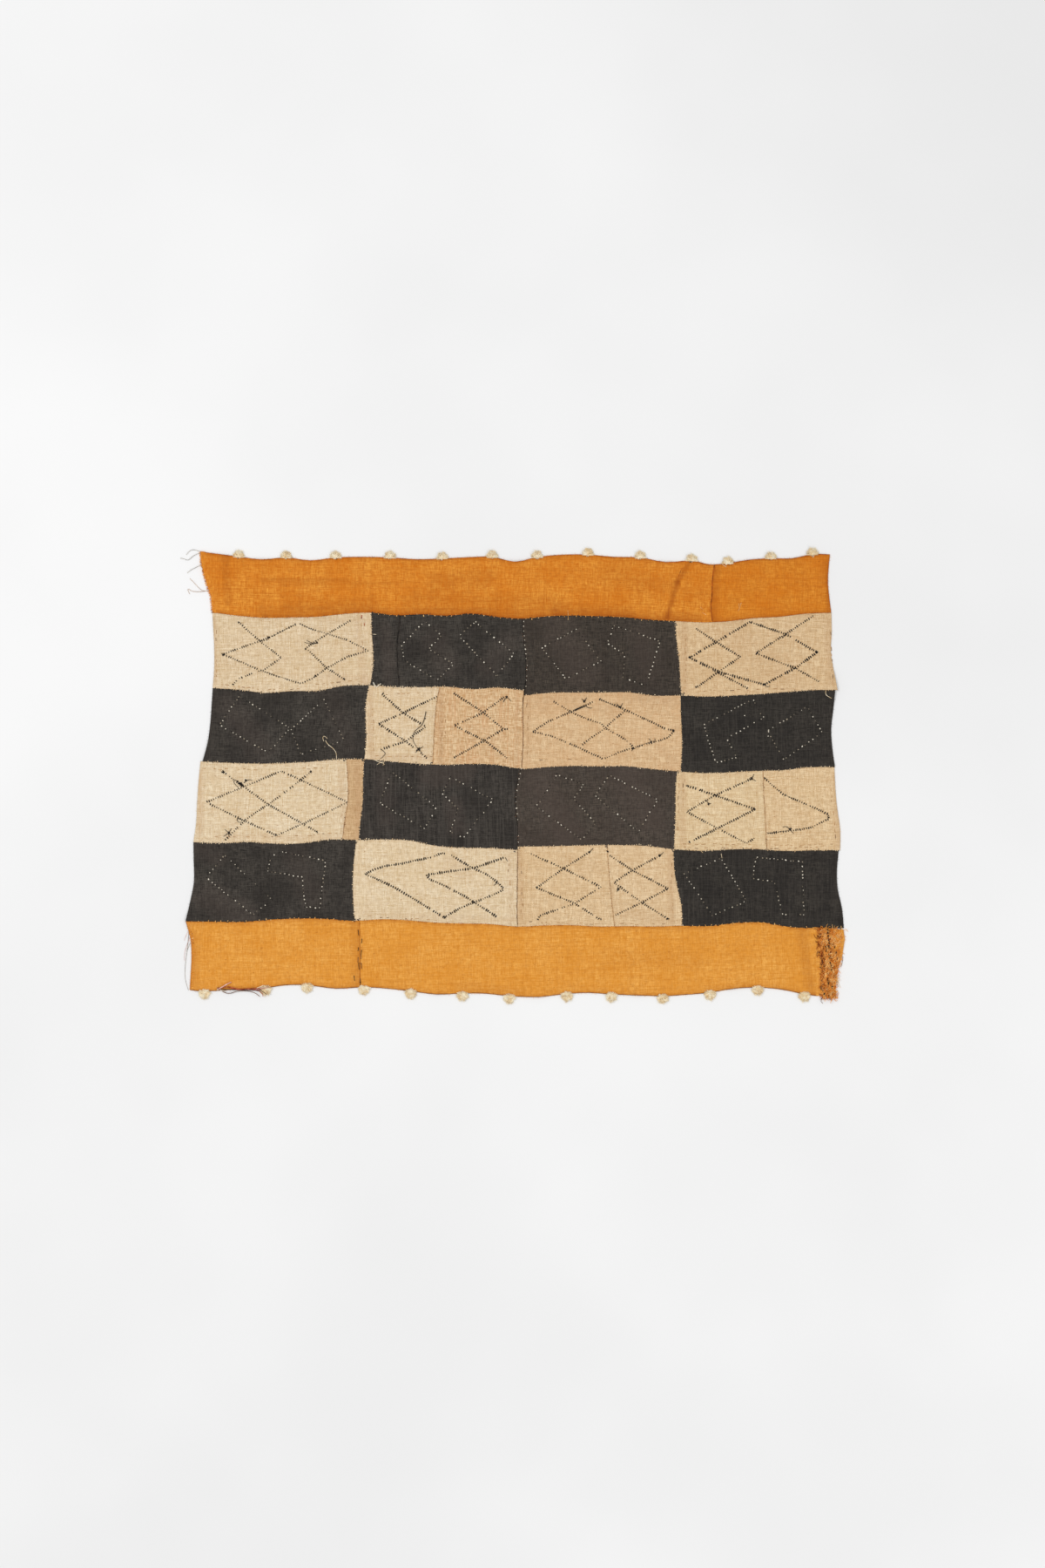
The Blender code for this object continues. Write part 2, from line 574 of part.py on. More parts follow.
def make_tangle(collection):
    """The knot of coloured thread below the bottom edge, with its ends trailing to the right."""
    long, deep, high = TANGLE_KNOT
    left, right = TANGLE_LEFT, TANGLE_LEFT + long
    top = min(height_on(BOTTOM_EDGE, left), height_on(BOTTOM_EDGE, right)) - 2 * HALF_GAP
    rows = 2 * TANGLE_STRANDS - 1
    mesh = bmesh.new()
    wall = [(right, top - deep * i / rows, 0) for i in range(rows + 1)]
    back = [(left, top - deep, 0), (left, top, 0)]
    mesh.faces.new([mesh.verts.new(p) for p in wall + back])
    thicken(mesh, high)
    for i, face in enumerate(strand_roots(mesh, 1)):
        heading = Vector((1, -TANGLE_FAN * i, 0)).normalized()
        length = TANGLE_REACH * (1 + TANGLE_GROWTH * i)
        grow_lock(mesh, face, heading, length, STRAND_STEPS, TANGLE_TAPER)
    return add_object("thread_tangle", mesh, "frayed_raffia", collection)


def make_cloth():
    for old in list(bpy.data.objects):
        bpy.data.objects.remove(old, do_unlink=True)
    collection = bpy.data.collections.new("raffia_cloth")
    bpy.context.scene.collection.children.link(collection)
    for piece in PIECES:
        make_sheet(piece, collection)
    for i, pompom in enumerate(TOP_POMPOMS):
        make_pompom(f"pompom_top_{i + 1:02d}", pompom, TOP_EDGE, 1, collection)
    for i, pompom in enumerate(BOTTOM_POMPOMS):
        make_pompom(f"pompom_bottom_{i + 1:02d}", pompom, BOTTOM_EDGE, -1, collection)
    for fringe in FRINGES:
        make_fringe(fringe, collection)
    make_tangle(collection)


make_cloth()
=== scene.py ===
import math
import random

import bmesh
import bpy
from mathutils import Matrix, Vector, noise
from mathutils.bvhtree import BVHTree
from mathutils.kdtree import KDTree


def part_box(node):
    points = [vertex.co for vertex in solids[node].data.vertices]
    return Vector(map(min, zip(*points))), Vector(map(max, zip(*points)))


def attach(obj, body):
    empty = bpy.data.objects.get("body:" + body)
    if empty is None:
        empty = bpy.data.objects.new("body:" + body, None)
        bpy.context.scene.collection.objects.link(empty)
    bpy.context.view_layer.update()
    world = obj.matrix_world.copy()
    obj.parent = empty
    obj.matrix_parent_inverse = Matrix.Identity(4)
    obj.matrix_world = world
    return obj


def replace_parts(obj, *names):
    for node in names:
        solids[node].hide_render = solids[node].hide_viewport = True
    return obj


print("loading the laid cloth")
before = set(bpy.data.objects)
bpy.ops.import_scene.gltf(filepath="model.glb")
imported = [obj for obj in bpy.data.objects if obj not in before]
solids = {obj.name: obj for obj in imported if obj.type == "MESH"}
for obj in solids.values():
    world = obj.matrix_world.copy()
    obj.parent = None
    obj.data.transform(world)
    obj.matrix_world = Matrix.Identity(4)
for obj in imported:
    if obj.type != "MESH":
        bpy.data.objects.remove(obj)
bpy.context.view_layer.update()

mm = 0.001
step = 1.25 * mm  # one pixel of the photograph, measured on the cloth
middle = (590.8, 890.02)  # the pixel that lies over the cloth's origin
up = Vector((0, 0, 1))
overhead = 0.1  # rays to the cloth start this far above the floor


def spotAt(px, py):
    return Vector(((px - middle[0]) * step, (middle[1] - py) * step))


def atHeight(line, tall):
    return [Vector((*spotAt(*spot), tall * mm)) for spot in line]


def shade(red, green, blue):
    # a screen colour as the linear one that the shaders take
    mixed = []
    for part in (red, green, blue):
        part = part / 255
        mixed.append(part / 12.92 if part <= 0.04045 else ((part + 0.055) / 1.055) ** 2.4)
    return (*mixed, 1.0)


def jitter(luck, size):
    return Vector((luck.gauss(0, size), luck.gauss(0, size)))


# shader groups shared by the finishes

def startGroup(name, numbers, outputs):
    # every group reads a vector, some read numbers too, and all give values
    group = bpy.data.node_groups.new(name, "ShaderNodeTree")
    group.interface.new_socket(name="Vector", in_out="INPUT", socket_type="NodeSocketVector")
    for label, value in numbers.items():
        socket = group.interface.new_socket(name=label, in_out="INPUT", socket_type="NodeSocketFloat")
        socket.default_value = value
    for label in outputs:
        group.interface.new_socket(name=label, in_out="OUTPUT", socket_type="NodeSocketFloat")
    return group, group.nodes.new("NodeGroupInput").outputs, group.nodes.new("NodeGroupOutput").inputs


def feed(tree, value, socket):
    if isinstance(value, bpy.types.NodeSocket):
        tree.links.new(value, socket)
    else:
        socket.default_value = value


def feedAll(tree, node, values):
    for label, value in values.items():
        feed(tree, value, node.inputs[label])


def calc(tree, operation, *values):
    node = tree.nodes.new("ShaderNodeMath")
    node.operation = operation
    for index, value in enumerate(values):
        feed(tree, value, node.inputs[index])
    return node.outputs[0]


def maths(tree):
    # the three that the trees use most: multiply, add, and multiply then add
    return [lambda *values, way=way: calc(tree, way, *values) for way in ("MULTIPLY", "ADD", "MULTIPLY_ADD")]


def blendShades(tree, share, first, second):
    node = tree.nodes.new("ShaderNodeMix")
    node.data_type = "RGBA"
    for index, value in ((0, share), (6, first), (7, second)):
        feed(tree, value, node.inputs[index])
    return node.outputs[2]


def spread(tree, value, low, high, newLow=0.0, newHigh=1.0):
    node = tree.nodes.new("ShaderNodeMapRange")
    node.interpolation_type = "SMOOTHSTEP"
    for index, part in enumerate((value, low, high, newLow, newHigh)):
        feed(tree, part, node.inputs[index])
    return node.outputs[0]


def grain(tree, vector, scale, detail=2.0, rough=0.5):
    node = tree.nodes.new("ShaderNodeTexNoise")
    feedAll(tree, node, {"Vector": vector, "Scale": scale, "Detail": detail, "Roughness": rough})
    return node.outputs["Fac"]


def stretched(tree, vector, scale):
    node = tree.nodes.new("ShaderNodeMapping")
    feedAll(tree, node, {"Vector": vector, "Scale": scale})
    return node.outputs["Vector"]


def together(tree, x, y, z=0.0):
    node = tree.nodes.new("ShaderNodeCombineXYZ")
    for index, value in enumerate((x, y, z)):
        feed(tree, value, node.inputs[index])
    return node.outputs[0]


weaving = {
    "wander": (34.0, 4.0, 0.6), "warpWander": 4.6, "weftWander": -4.1,  # the threads stray by a few of their widths
    "varies": 1.5, "widest": 1.55,  # a strip's width comes from its own random value
    "swing": 0.42, "level": 0.58,  # how far it rises over the next one, and its height between
    "slubScale": (7.3, 0.07), "slub": (0.3, 0.7), "slubShare": 0.5, "ownShare": 0.5,
    # openings, open and gap shape the painted shade in the hollows of the weave
    "openings": (170.0, 3.0, 0.7), "open": (0.4, 0.66), "gap": (0.62, 0.12), "relief": 0.25,
}


def makeWeave():
    # plain weave of flat raffia strips: every strip has its own tint, width and slubs, and the hollows between them
    # give the mask of painted shade
    group, given, out = startGroup("raffiaWeave", {"Warp": 900.0, "Weft": 780.0}, ("Tint", "GapShade", "Height"))
    times, plus, timesPlus = maths(group)
    parts = group.nodes.new("ShaderNodeSeparateXYZ")
    feed(group, given["Vector"], parts.inputs[0])
    wander = grain(group, given["Vector"], *weaving["wander"])
    across = plus(times(parts.outputs[0], given["Warp"]), times(wander, weaving["warpWander"]))
    along = plus(times(parts.outputs[1], given["Weft"]), times(wander, weaving["weftWander"]))
    results = []
    for mine, other, turn, salt in ((across, along, -0.5, 3.1), (along, across, 0.5, 41.7)):
        number = calc(group, "FLOOR", mine)
        inside = calc(group, "SUBTRACT", calc(group, "FRACT", mine), 0.5)
        chance = group.nodes.new("ShaderNodeTexWhiteNoise")
        chance.noise_dimensions = "1D"
        feed(group, plus(number, salt), chance.inputs["W"])
        width = timesPlus(chance.outputs["Value"], weaving["varies"], weaving["widest"])
        flank = calc(group, "POWER", calc(group, "ABSOLUTE", times(inside, width)), 2.0)
        wave = calc(group, "COSINE", times(plus(plus(other, number), turn), math.pi))
        rise = times(calc(group, "SUBTRACT", 1.0, flank), timesPlus(wave, weaving["swing"], weaving["level"]))
        slubAcross, slubAlong = weaving["slubScale"]
        slub = grain(group, together(group, times(number, slubAcross), times(other, slubAlong), salt), 1.0)
        slubTint = times(spread(group, slub, *weaving["slub"]), weaving["slubShare"])
        results.append((rise, timesPlus(chance.outputs["Value"], weaving["ownShare"], slubTint)))
    (warpRise, warpTint), (weftRise, weftTint) = results
    upper = calc(group, "GREATER_THAN", weftRise, warpRise)
    high = calc(group, "MAXIMUM", warpRise, weftRise)
    tint = plus(times(warpTint, calc(group, "SUBTRACT", 1.0, upper)), times(weftTint, upper))
    opening = spread(group, grain(group, given["Vector"], *weaving["openings"]), *weaving["open"])
    feed(group, tint, out["Tint"])
    feed(group, times(spread(group, high, *weaving["gap"]), opening), out["GapShade"])
    feed(group, timesPlus(tint, weaving["relief"], high), out["Height"])
    return group


# noise on the cloth: its scale, one number or one for each axis, its detail and its roughness
dyeing = {
    "Upright": ((420.0, 14.0, 1.0), 3.0, 0.6), "Level": ((10.0, 380.0, 1.0), 3.0, 0.6), "Clouds": (22.0, 5.0, 0.62),
    "standing": ((780.0, 110.0, 1.0), 1.5), "lying": ((100.0, 720.0, 1.0), 1.5),
    "fleck": ((260.0, 420.0, 1.0), 2.0), "patch": (34.0, 2.0),
}


def makeStreaks():
    # long faint streaks both ways where bundles of strips took the dye unevenly, clouds and flecks
    group, given, out = startGroup("dyeStreaks", {}, ("Upright", "Level", "Clouds", "Bundles", "Flecks"))
    times, plus, timesPlus = maths(group)
    drawn = {}
    for label, (scale, *more) in dyeing.items():
        if isinstance(scale, tuple):
            drawn[label] = grain(group, stretched(group, given["Vector"], scale), 1.0, *more)
        else:
            drawn[label] = grain(group, given["Vector"], scale, *more)
    for label, low, high in (("Upright", 0.42, 0.72), ("Level", 0.42, 0.72), ("Clouds", 0.34, 0.68)):
        feed(group, spread(group, drawn[label], low, high), out[label])
    feed(group, spread(group, plus(drawn["standing"], drawn["lying"]), 0.78, 1.22), out["Bundles"])
    patches = spread(group, drawn["patch"], 0.36, 0.62, 0.25, 1.0)
    feed(group, times(spread(group, drawn["fleck"], 0.62, 0.74), patches), out["Flecks"])
    return group


def makeTwist():
    # fine ridges and tint along spun threads and fibres, on Object coordinates
    group, given, out = startGroup("spunThread", {"Scale": 900.0}, ("Tint", "Height"))
    coarse = grain(group, given["Vector"], 170.0)
    feed(group, spread(group, coarse, 0.3, 0.7), out["Tint"])
    feed(group, grain(group, given["Vector"], given["Scale"]), out["Height"])
    return group


weaveGroup = makeWeave()
streakGroup = makeStreaks()
twistGroup = makeTwist()


def useGroup(tree, group, vector, **numbers):
    node = tree.nodes.new("ShaderNodeGroup")
    node.node_tree = group
    feedAll(tree, node, {"Vector": vector, **numbers})
    return node.outputs


def startPaint(name):
    paint = bpy.data.materials.new(name)
    paint.use_nodes = True
    return paint, paint.node_tree, paint.node_tree.nodes["Principled BSDF"]


def addRidges(tree, shader, height, strength, depth):
    ridge = tree.nodes.new("ShaderNodeBump")
    feedAll(tree, ridge, {"Strength": strength, "Distance": depth, "Height": height})
    tree.links.new(ridge.outputs[0], shader.inputs["Normal"])


def raffiaFinish(name, finish):
    paint, tree, shader = startPaint(name)
    times, plus, timesPlus = maths(tree)
    threads = tree.nodes.new("ShaderNodeUVMap")
    threads.uv_map = "threads"
    marks = tree.nodes.new("ShaderNodeAttribute")
    marks.attribute_name = "stain"
    weave = useGroup(tree, weaveGroup, threads.outputs[0], Warp=finish["warp"], Weft=finish["weft"])
    streaks = useGroup(tree, streakGroup, threads.outputs[0])
    tint = blendShades(tree, finish["bundles"], weave["Tint"], streaks["Bundles"])
    body = blendShades(tree, tint, shade(*finish["low"]), shade(*finish["high"]))
    # the stain attribute holds stains, wear, and painted shade along the creases and rims
    wornAndShaded = times(marks.outputs["Fac"], timesPlus(weave["Tint"], 0.5, 0.75))
    for share, colour in (
        (times(streaks["Clouds"], finish["clouds"]), "cloud"),
        (times(streaks["Upright"], finish["upright"]), "streak"),
        (times(streaks["Level"], finish["level"]), "streak"), (times(streaks["Flecks"], finish["flecks"]), "fleck"),
        # last, the painted shade in the hollows of the weave
        (wornAndShaded, "stain"), (times(weave["GapShade"], finish["gap"]), "depth"),
    ):
        body = blendShades(tree, share, body, shade(*finish[colour]))
    dull = finish["dull"]
    feedAll(tree, shader, {
        "Base Color": body, "Roughness": spread(tree, weave["Tint"], 0.0, 1.0, dull, dull - 0.16),
        "Specular IOR Level": finish["shine"], "Sheen Weight": finish["sheen"], "Sheen Roughness": 0.5,
    })
    addRidges(tree, shader, weave["Height"], finish["bump"], 0.35 * mm)
    return paint


def threadFinish(name, dark, light, rough=0.85, bump=0.5, scale=900.0):
    paint, tree, shader = startPaint(name)
    where = tree.nodes.new("ShaderNodeTexCoord")
    twist = useGroup(tree, twistGroup, where.outputs["Object"], Scale=scale)
    feedAll(tree, shader, {
        "Base Color": blendShades(tree, twist["Tint"], shade(*dark), shade(*light)),
        "Roughness": spread(tree, twist["Height"], 0.2, 0.8, rough - 0.1, rough + 0.08), "Specular IOR Level": 0.25,
    })
    addRidges(tree, shader, twist["Height"], bump, 0.2 * mm)
    return paint


# in each finish, depth is the colour of the painted shade in the weave's hollows and gap its share
creamCloth = {
    "low": (190, 159, 115), "high": (252, 235, 206), "bundles": 0.32, "cloud": (220, 192, 148), "clouds": 0.25,
    "streak": (202, 168, 124), "upright": 0.26, "level": 0.2, "fleck": (162, 112, 66), "flecks": 0.7,
    # stain: the colour of the stains and wear, and of the painted shade along creases and rims
    "stain": (184, 142, 102), "depth": (150, 118, 80), "gap": 0.7,
    "warp": 760.0, "weft": 700.0, "dull": 0.92, "shine": 0.15, "sheen": 0.05, "bump": 0.5,
}
darkCloth = {
    "low": (20, 18, 16), "high": (85, 79, 72), "bundles": 0.52, "cloud": (38, 34, 31), "clouds": 0.72,
    "streak": (82, 76, 69), "upright": 0.27, "level": 0.12, "fleck": (98, 90, 82), "flecks": 0.3,
    "stain": (86, 74, 67), "depth": (18, 16, 15), "gap": 0.7,
    "warp": 700.0, "weft": 640.0, "dull": 0.88, "shine": 0.14, "sheen": 0.02, "bump": 0.5,
}
orangeCloth = {
    "low": (196, 106, 18), "high": (250, 175, 70), "bundles": 0.52, "cloud": (208, 113, 14), "clouds": 0.6,
    "streak": (190, 102, 18), "upright": 0.42, "level": 0.42, "fleck": (156, 80, 16), "flecks": 0.5,
    # stain: the colour of the stains and wear, and of the painted shade along the crease and rims
    "stain": (164, 84, 16), "depth": (150, 76, 10), "gap": 0.6,
    "warp": 720.0, "weft": 780.0, "dull": 0.9, "shine": 0.15, "sheen": 0.03, "bump": 0.42,
}


def changed(base, **new):
    return {**base, **new}


dark, natural, tan, orange, cream, frayed = (
    "dark_raffia", "natural_raffia", "tan_raffia", "orange_raffia", "cream_tuft", "frayed_raffia",
)

# every thread and fibre: its slot, its darkest and lightest shade, then roughness, bump and grain where they differ
threadKinds = {
    "blackThread": (dark, (16, 13, 11), (50, 43, 37)), "creamThread": (cream, (212, 184, 140), (248, 232, 202)),
    "whiteThread": (cream, (192, 182, 162), (244, 236, 218)), "greyThread": (cream, (110, 100, 86), (172, 158, 136)),
    "clothThread": (natural, (194, 160, 116), (244, 222, 186)), "brownThread": (frayed, (84, 54, 36), (140, 98, 66)),
    "hemThread": (natural, (150, 108, 68), (198, 158, 112)), "redThread": (frayed, (128, 46, 24), (190, 96, 62)),
    "roseThread": (frayed, (206, 150, 136), (240, 206, 192)),
    "orangeThread": (frayed, (216, 124, 34), (252, 184, 92)),
    "rustThread": (frayed, (116, 52, 12), (190, 96, 28)), "sootThread": (dark, (36, 32, 29), (84, 76, 68)),
    "tuftFibre": (cream, (243, 219, 174), (255, 246, 222), 0.9, 0.3, 1400.0),
    "hayFibre": (frayed, (212, 150, 76), (248, 208, 144)),
}
paints = {name: threadFinish(name, *shades) for name, (slot, *shades) in threadKinds.items()}


def threadSlot(name):
    return threadKinds[name][0]


def setOut(name, mesh, slot, paint=None):
    # a finished mesh takes its place on the cloth
    piece = bpy.data.objects.new(name, mesh)
    bpy.context.scene.collection.objects.link(piece)
    if paint:
        mesh.materials.append(paint)
    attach(piece, "root")
    return piece


def meshOf(name, form):
    mesh = bpy.data.meshes.new(name)
    form.to_mesh(mesh)
    form.free()
    return mesh


def nearSegment(point, start, end):
    run = end - start
    share = max(0.0, min(1.0, (point - start).dot(run) / max(run.length_squared, 1e-12)))
    return (point - start - run * share).length


def nearLine(point, line):
    return min(nearSegment(point, first, second) for first, second in zip(line, line[1:]))


def sidesOf(outline):
    sides = {"top": [], "bottom": [], "left": [], "right": []}
    for index, start in enumerate(outline):
        run = outline[(index + 1) % len(outline)] - start
        if abs(run.x) > abs(run.y):
            sides["bottom" if run.x > 0 else "top"] += [start, start + run]
        else:
            sides["right" if run.y > 0 else "left"] += [start, start + run]
    for name, corners in sides.items():
        along = 0 if name in ("top", "bottom") else 1
        corners.sort(key=lambda corner: corner[along])
        kept = corners[:1]
        for corner in corners[1:]:
            if (corner - kept[-1]).length > 0.5 * mm:
                kept.append(corner)
        sides[name] = kept
    return sides


def within(value):
    return max(0.0, min(1.0, value))


def limits(points):
    return [Vector([limit(point[axis] for point in points) for axis in (0, 1)]) for limit in (min, max)]


def roughAt(spot, across, along, salt):
    return noise.noise(Vector((spot.x * across, spot.y * along, salt)))


allCorners, allFaces = [], []  # the laid top of every piece, for seating stitches on it
laidSides = {}

# one sheet, in mm: its rim falls in rings, and inside its hem the cloth is single
sheetForm = {
    "thickness": 0.75, "crowded": 2.0, "seam": 0.16, "rim": -0.6, "rings": ((0.6, -0.16), (0.8, 0.0)), "pitch": 3.0,
    "softening": 18, "hem": 6.0, "turn": 1.6, "single": 0.3, "least": 0.9, "swellFrom": 8, "pucker": 0.34,
    "puckerTo": 7,
    # the strength and reach of the wear and painted rim shade along the edges, then the weave's lean and bend
    "rimWearAndShade": 0.12, "rimWearAndShadeTo": 2.2, "lean": 1.2, "bend": 1.2,
}


def cutOutline(name):
    # the solid's top as one flat face, and its folds for rays to find
    cloth = bmesh.new()
    cloth.from_mesh(solids[name].data)
    bmesh.ops.remove_doubles(cloth, verts=cloth.verts[:], dist=0.01 * mm)
    cloth.normal_update()
    hidden = [face for face in cloth.faces if face.normal.z < 0.5]
    bmesh.ops.delete(cloth, geom=hidden, context="FACES")
    folds = BVHTree.FromBMesh(cloth)
    bmesh.ops.dissolve_faces(cloth, faces=cloth.faces[:], use_verts=False)
    loose = [corner for corner in cloth.verts if not corner.link_faces]
    bmesh.ops.delete(cloth, geom=loose, context="VERTS")
    for corner in cloth.verts:
        corner.co.z = 0
    cloth.faces.ensure_lookup_table()
    whole = cloth.faces[0]
    whole.normal_update()
    if whole.normal.z < 0:
        bmesh.ops.reverse_faces(cloth, faces=[whole])
    # corners that stand too close for the rim go, apart from the four real ones
    crowded = []
    for loop in whole.loops:
        before, after = loop.link_loop_prev.vert.co, loop.link_loop_next.vert.co
        near = min((loop.vert.co - before).length, (after - loop.vert.co).length)
        bend = (loop.vert.co - before).angle(after - loop.vert.co, 0.0)
        if near < sheetForm["crowded"] * mm and bend < 0.6 and loop.link_loop_prev.vert not in crowded:
            crowded.append(loop.vert)
    bmesh.ops.dissolve_verts(cloth, verts=crowded)
    cloth.faces.ensure_lookup_table()
    return cloth, folds


def turnRim(cloth, whole):
    # each edge goes out by half of the gap beside it, then its hem rises to the face in rings
    fall = cloth.verts.layers.float.new("fall")
    rim = list(whole.verts)
    ring = [corner.co.copy() for corner in rim]
    for index, corner in enumerate(rim):
        corner[fall] = sheetForm["rim"] * mm
        run = ring[(index + 1) % len(ring)] - ring[index - 1]
        corner.co += Vector((run.y, -run.x, 0)).normalized() * sheetForm["seam"] * mm
    for width, depth in sheetForm["rings"]:
        bmesh.ops.inset_individual(cloth, faces=[whole], thickness=width * mm, use_even_offset=True)
        for corner in whole.verts:
            corner[fall] = depth * mm
    return fall


def cutGrid(cloth, low, high):
    pitch = sheetForm["pitch"] * mm
    for axis, normal in enumerate((Vector((1, 0, 0)), Vector((0, 1, 0)))):
        for number in range(1, int((high[axis] - low[axis]) / pitch) + 1):
            at = low.to_3d() + normal * (number * pitch - 0.37 * pitch)
            everything = cloth.verts[:] + cloth.edges[:] + cloth.faces[:]
            bmesh.ops.bisect_plane(cloth, geom=everything, dist=0.02 * mm, plane_co=at, plane_no=normal)


def drape(cloth, folds):
    # the folds of the solid, softened
    for corner in cloth.verts:
        hit = folds.ray_cast(Vector((corner.co.x, corner.co.y, overhead)), -up)[0]
        if hit is None:
            hit = folds.find_nearest(Vector((corner.co.x, corner.co.y, 1.4 * mm)))[0]
        corner.co.z = hit.z
    for turn in range(sheetForm["softening"]):
        bmesh.ops.smooth_vert(
            cloth, verts=cloth.verts[:], factor=0.5, use_axis_x=False, use_axis_y=False, use_axis_z=True,
        )


def edgeFinder(outline):
    spots = []
    for index, start in enumerate(outline):
        run = outline[(index + 1) % len(outline)] - start
        parts = max(1, int(run.length / (2.5 * mm)))
        spots += [start + run * part / parts for part in range(parts)]
    finder = KDTree(len(spots))
    for number, spot in enumerate(spots):
        finder.insert((spot.x, spot.y, 0), number)
    finder.balance()
    return finder


def rumple(piece, cloth, fall, outline, seed):
    # the small folds: swells, puckers by the seams and creases; then the wear, the stains and the painted shade along
    # creases and rims
    edges = edgeFinder(outline)
    creases = [
        ([spotAt(*spot) for spot in line], width * mm, tall * mm) for line, width, tall in piece.get("creases", [])
    ]
    stains = [
        (spotAt(*start), spotAt(*end), radius * step, depth) for start, end, radius, depth in piece.get("stains", [])
    ]
    stain = cloth.verts.layers.float.new("stain")
    for corner in cloth.verts:
        flat = corner.co.to_2d()
        nearest, which, away = edges.find(flat.to_3d())
        level = abs(nearest.y - flat.y) > abs(nearest.x - flat.x)
        pucker = roughAt(flat, 230, 40, seed) if level else roughAt(flat, 40, 230, seed)
        swell = roughAt(flat, 22, 26, seed + 3) * 0.5 + roughAt(flat, 70, 64, seed + 9) * 0.16
        turned = within((away / mm - sheetForm["hem"]) / sheetForm["turn"])
        lift = corner[fall] - sheetForm["single"] * mm * turned
        lift += swell * mm * min(1.0, away / (sheetForm["swellFrom"] * mm))
        lift += pucker * sheetForm["pucker"] * mm * math.exp(-away / (sheetForm["puckerTo"] * mm))
        for line, width, tall in creases:
            off = nearLine(flat, line) / width
            if off < 3:
                lift += tall * (0.75 + 0.5 * roughAt(flat, 60, 60, seed + 20)) * math.exp(-off * off)
        corner.co.z = max(sheetForm["least"] * mm, corner.co.z + lift)
        wornAndShaded = 0.0
        for start, end, radius, depth in stains:
            off = nearSegment(flat, start, end) / radius
            if off < 1.4:
                wornAndShaded += depth * max(0.0, 1 - (off + 0.28 * roughAt(flat, 120, 120, seed + 30)) ** 2)
        # along the rims the stain colour gives wear, and on the cream and orange cloth painted rim shade
        if level or not piece.get("frayed"):
            wornAndShaded += piece.get("edgeWear", sheetForm["rimWearAndShade"]) * math.exp(-away / (sheetForm["rimWearAndShadeTo"] * mm))
        corner[stain] = within(wornAndShaded)


def runThreads(cloth, luck, seed):
    # the weave follows its own map, a little askew and bent
    threads = cloth.loops.layers.uv.new("threads")
    lean = math.radians(luck.uniform(-sheetForm["lean"], sheetForm["lean"]))
    shift = Vector((luck.uniform(0, 3), luck.uniform(0, 3)))
    for face in cloth.faces:
        face.smooth = True
        for loop in face.loops:
            spot = loop.vert.co
            bend = roughAt(spot, 14, 14, seed + 40) * sheetForm["bend"] * mm
            loop[threads].uv = Matrix.Rotation(lean, 2) @ Vector((spot.x + bend, spot.y - bend)) + shift


def layPiece(piece):
    # one sheet: the solid's outline, a turned hem all round, then the folds it lies in
    name = piece["solid"]
    luck = random.Random(name)
    cloth, folds = cutOutline(name)
    whole = cloth.faces[0]
    outline = [loop.vert.co.to_2d() for loop in whole.loops]
    laidSides[name] = sidesOf(outline)
    low, high = limits(outline)
    wide, deep = high.x - low.x, high.y - low.y
    area = min(whole.calc_area(), wide * deep)
    fall = turnRim(cloth, whole)
    cutGrid(cloth, low, high)
    drape(cloth, folds)
    seed = luck.uniform(0, 50)
    rumple(piece, cloth, fall, outline, seed)
    runThreads(cloth, luck, seed)
    start = len(allCorners)
    cloth.verts.index_update()
    allCorners.extend(corner.co.copy() for corner in cloth.verts)
    allFaces.extend([start + corner.index for corner in face.verts] for face in cloth.faces)
    cloth.verts.layers.float.remove(fall)
    paint = raffiaFinish(name + "_raffia", piece["finish"])
    sheet = setOut(name + "_cloth", meshOf(name + "_cloth", cloth), piece["slot"], paint)
    body = sheet.modifiers.new("thickness", "SOLIDIFY")
    body.thickness = sheetForm["thickness"] * mm
    body.offset = -1
    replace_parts(sheet, name)


# what a piece holds, in pixels: lines are rows of dark stitches, and dots rows of pale ones; running, hemDashes,
# whiskers and curls are loose or sewn threads; knots have a size; a crease has a width and a height in mm; a stain,
# or a line of painted shade, runs from one spot to another with a radius and a depth; folds are rust threads laid in
# a crease as painted shade
def raffia(solid, slot, finish, **more):
    return {"solid": solid, "slot": slot, "finish": finish, **more}


blackerCloth = changed(darkCloth, low=(22, 20, 18), high=(68, 63, 57), cloud=(36, 33, 31))
amberCloth = changed(
    orangeCloth, low=(212, 134, 38), high=(250, 186, 94), cloud=(222, 144, 46), streak=(208, 130, 38),
    stain=(176, 100, 28),
)

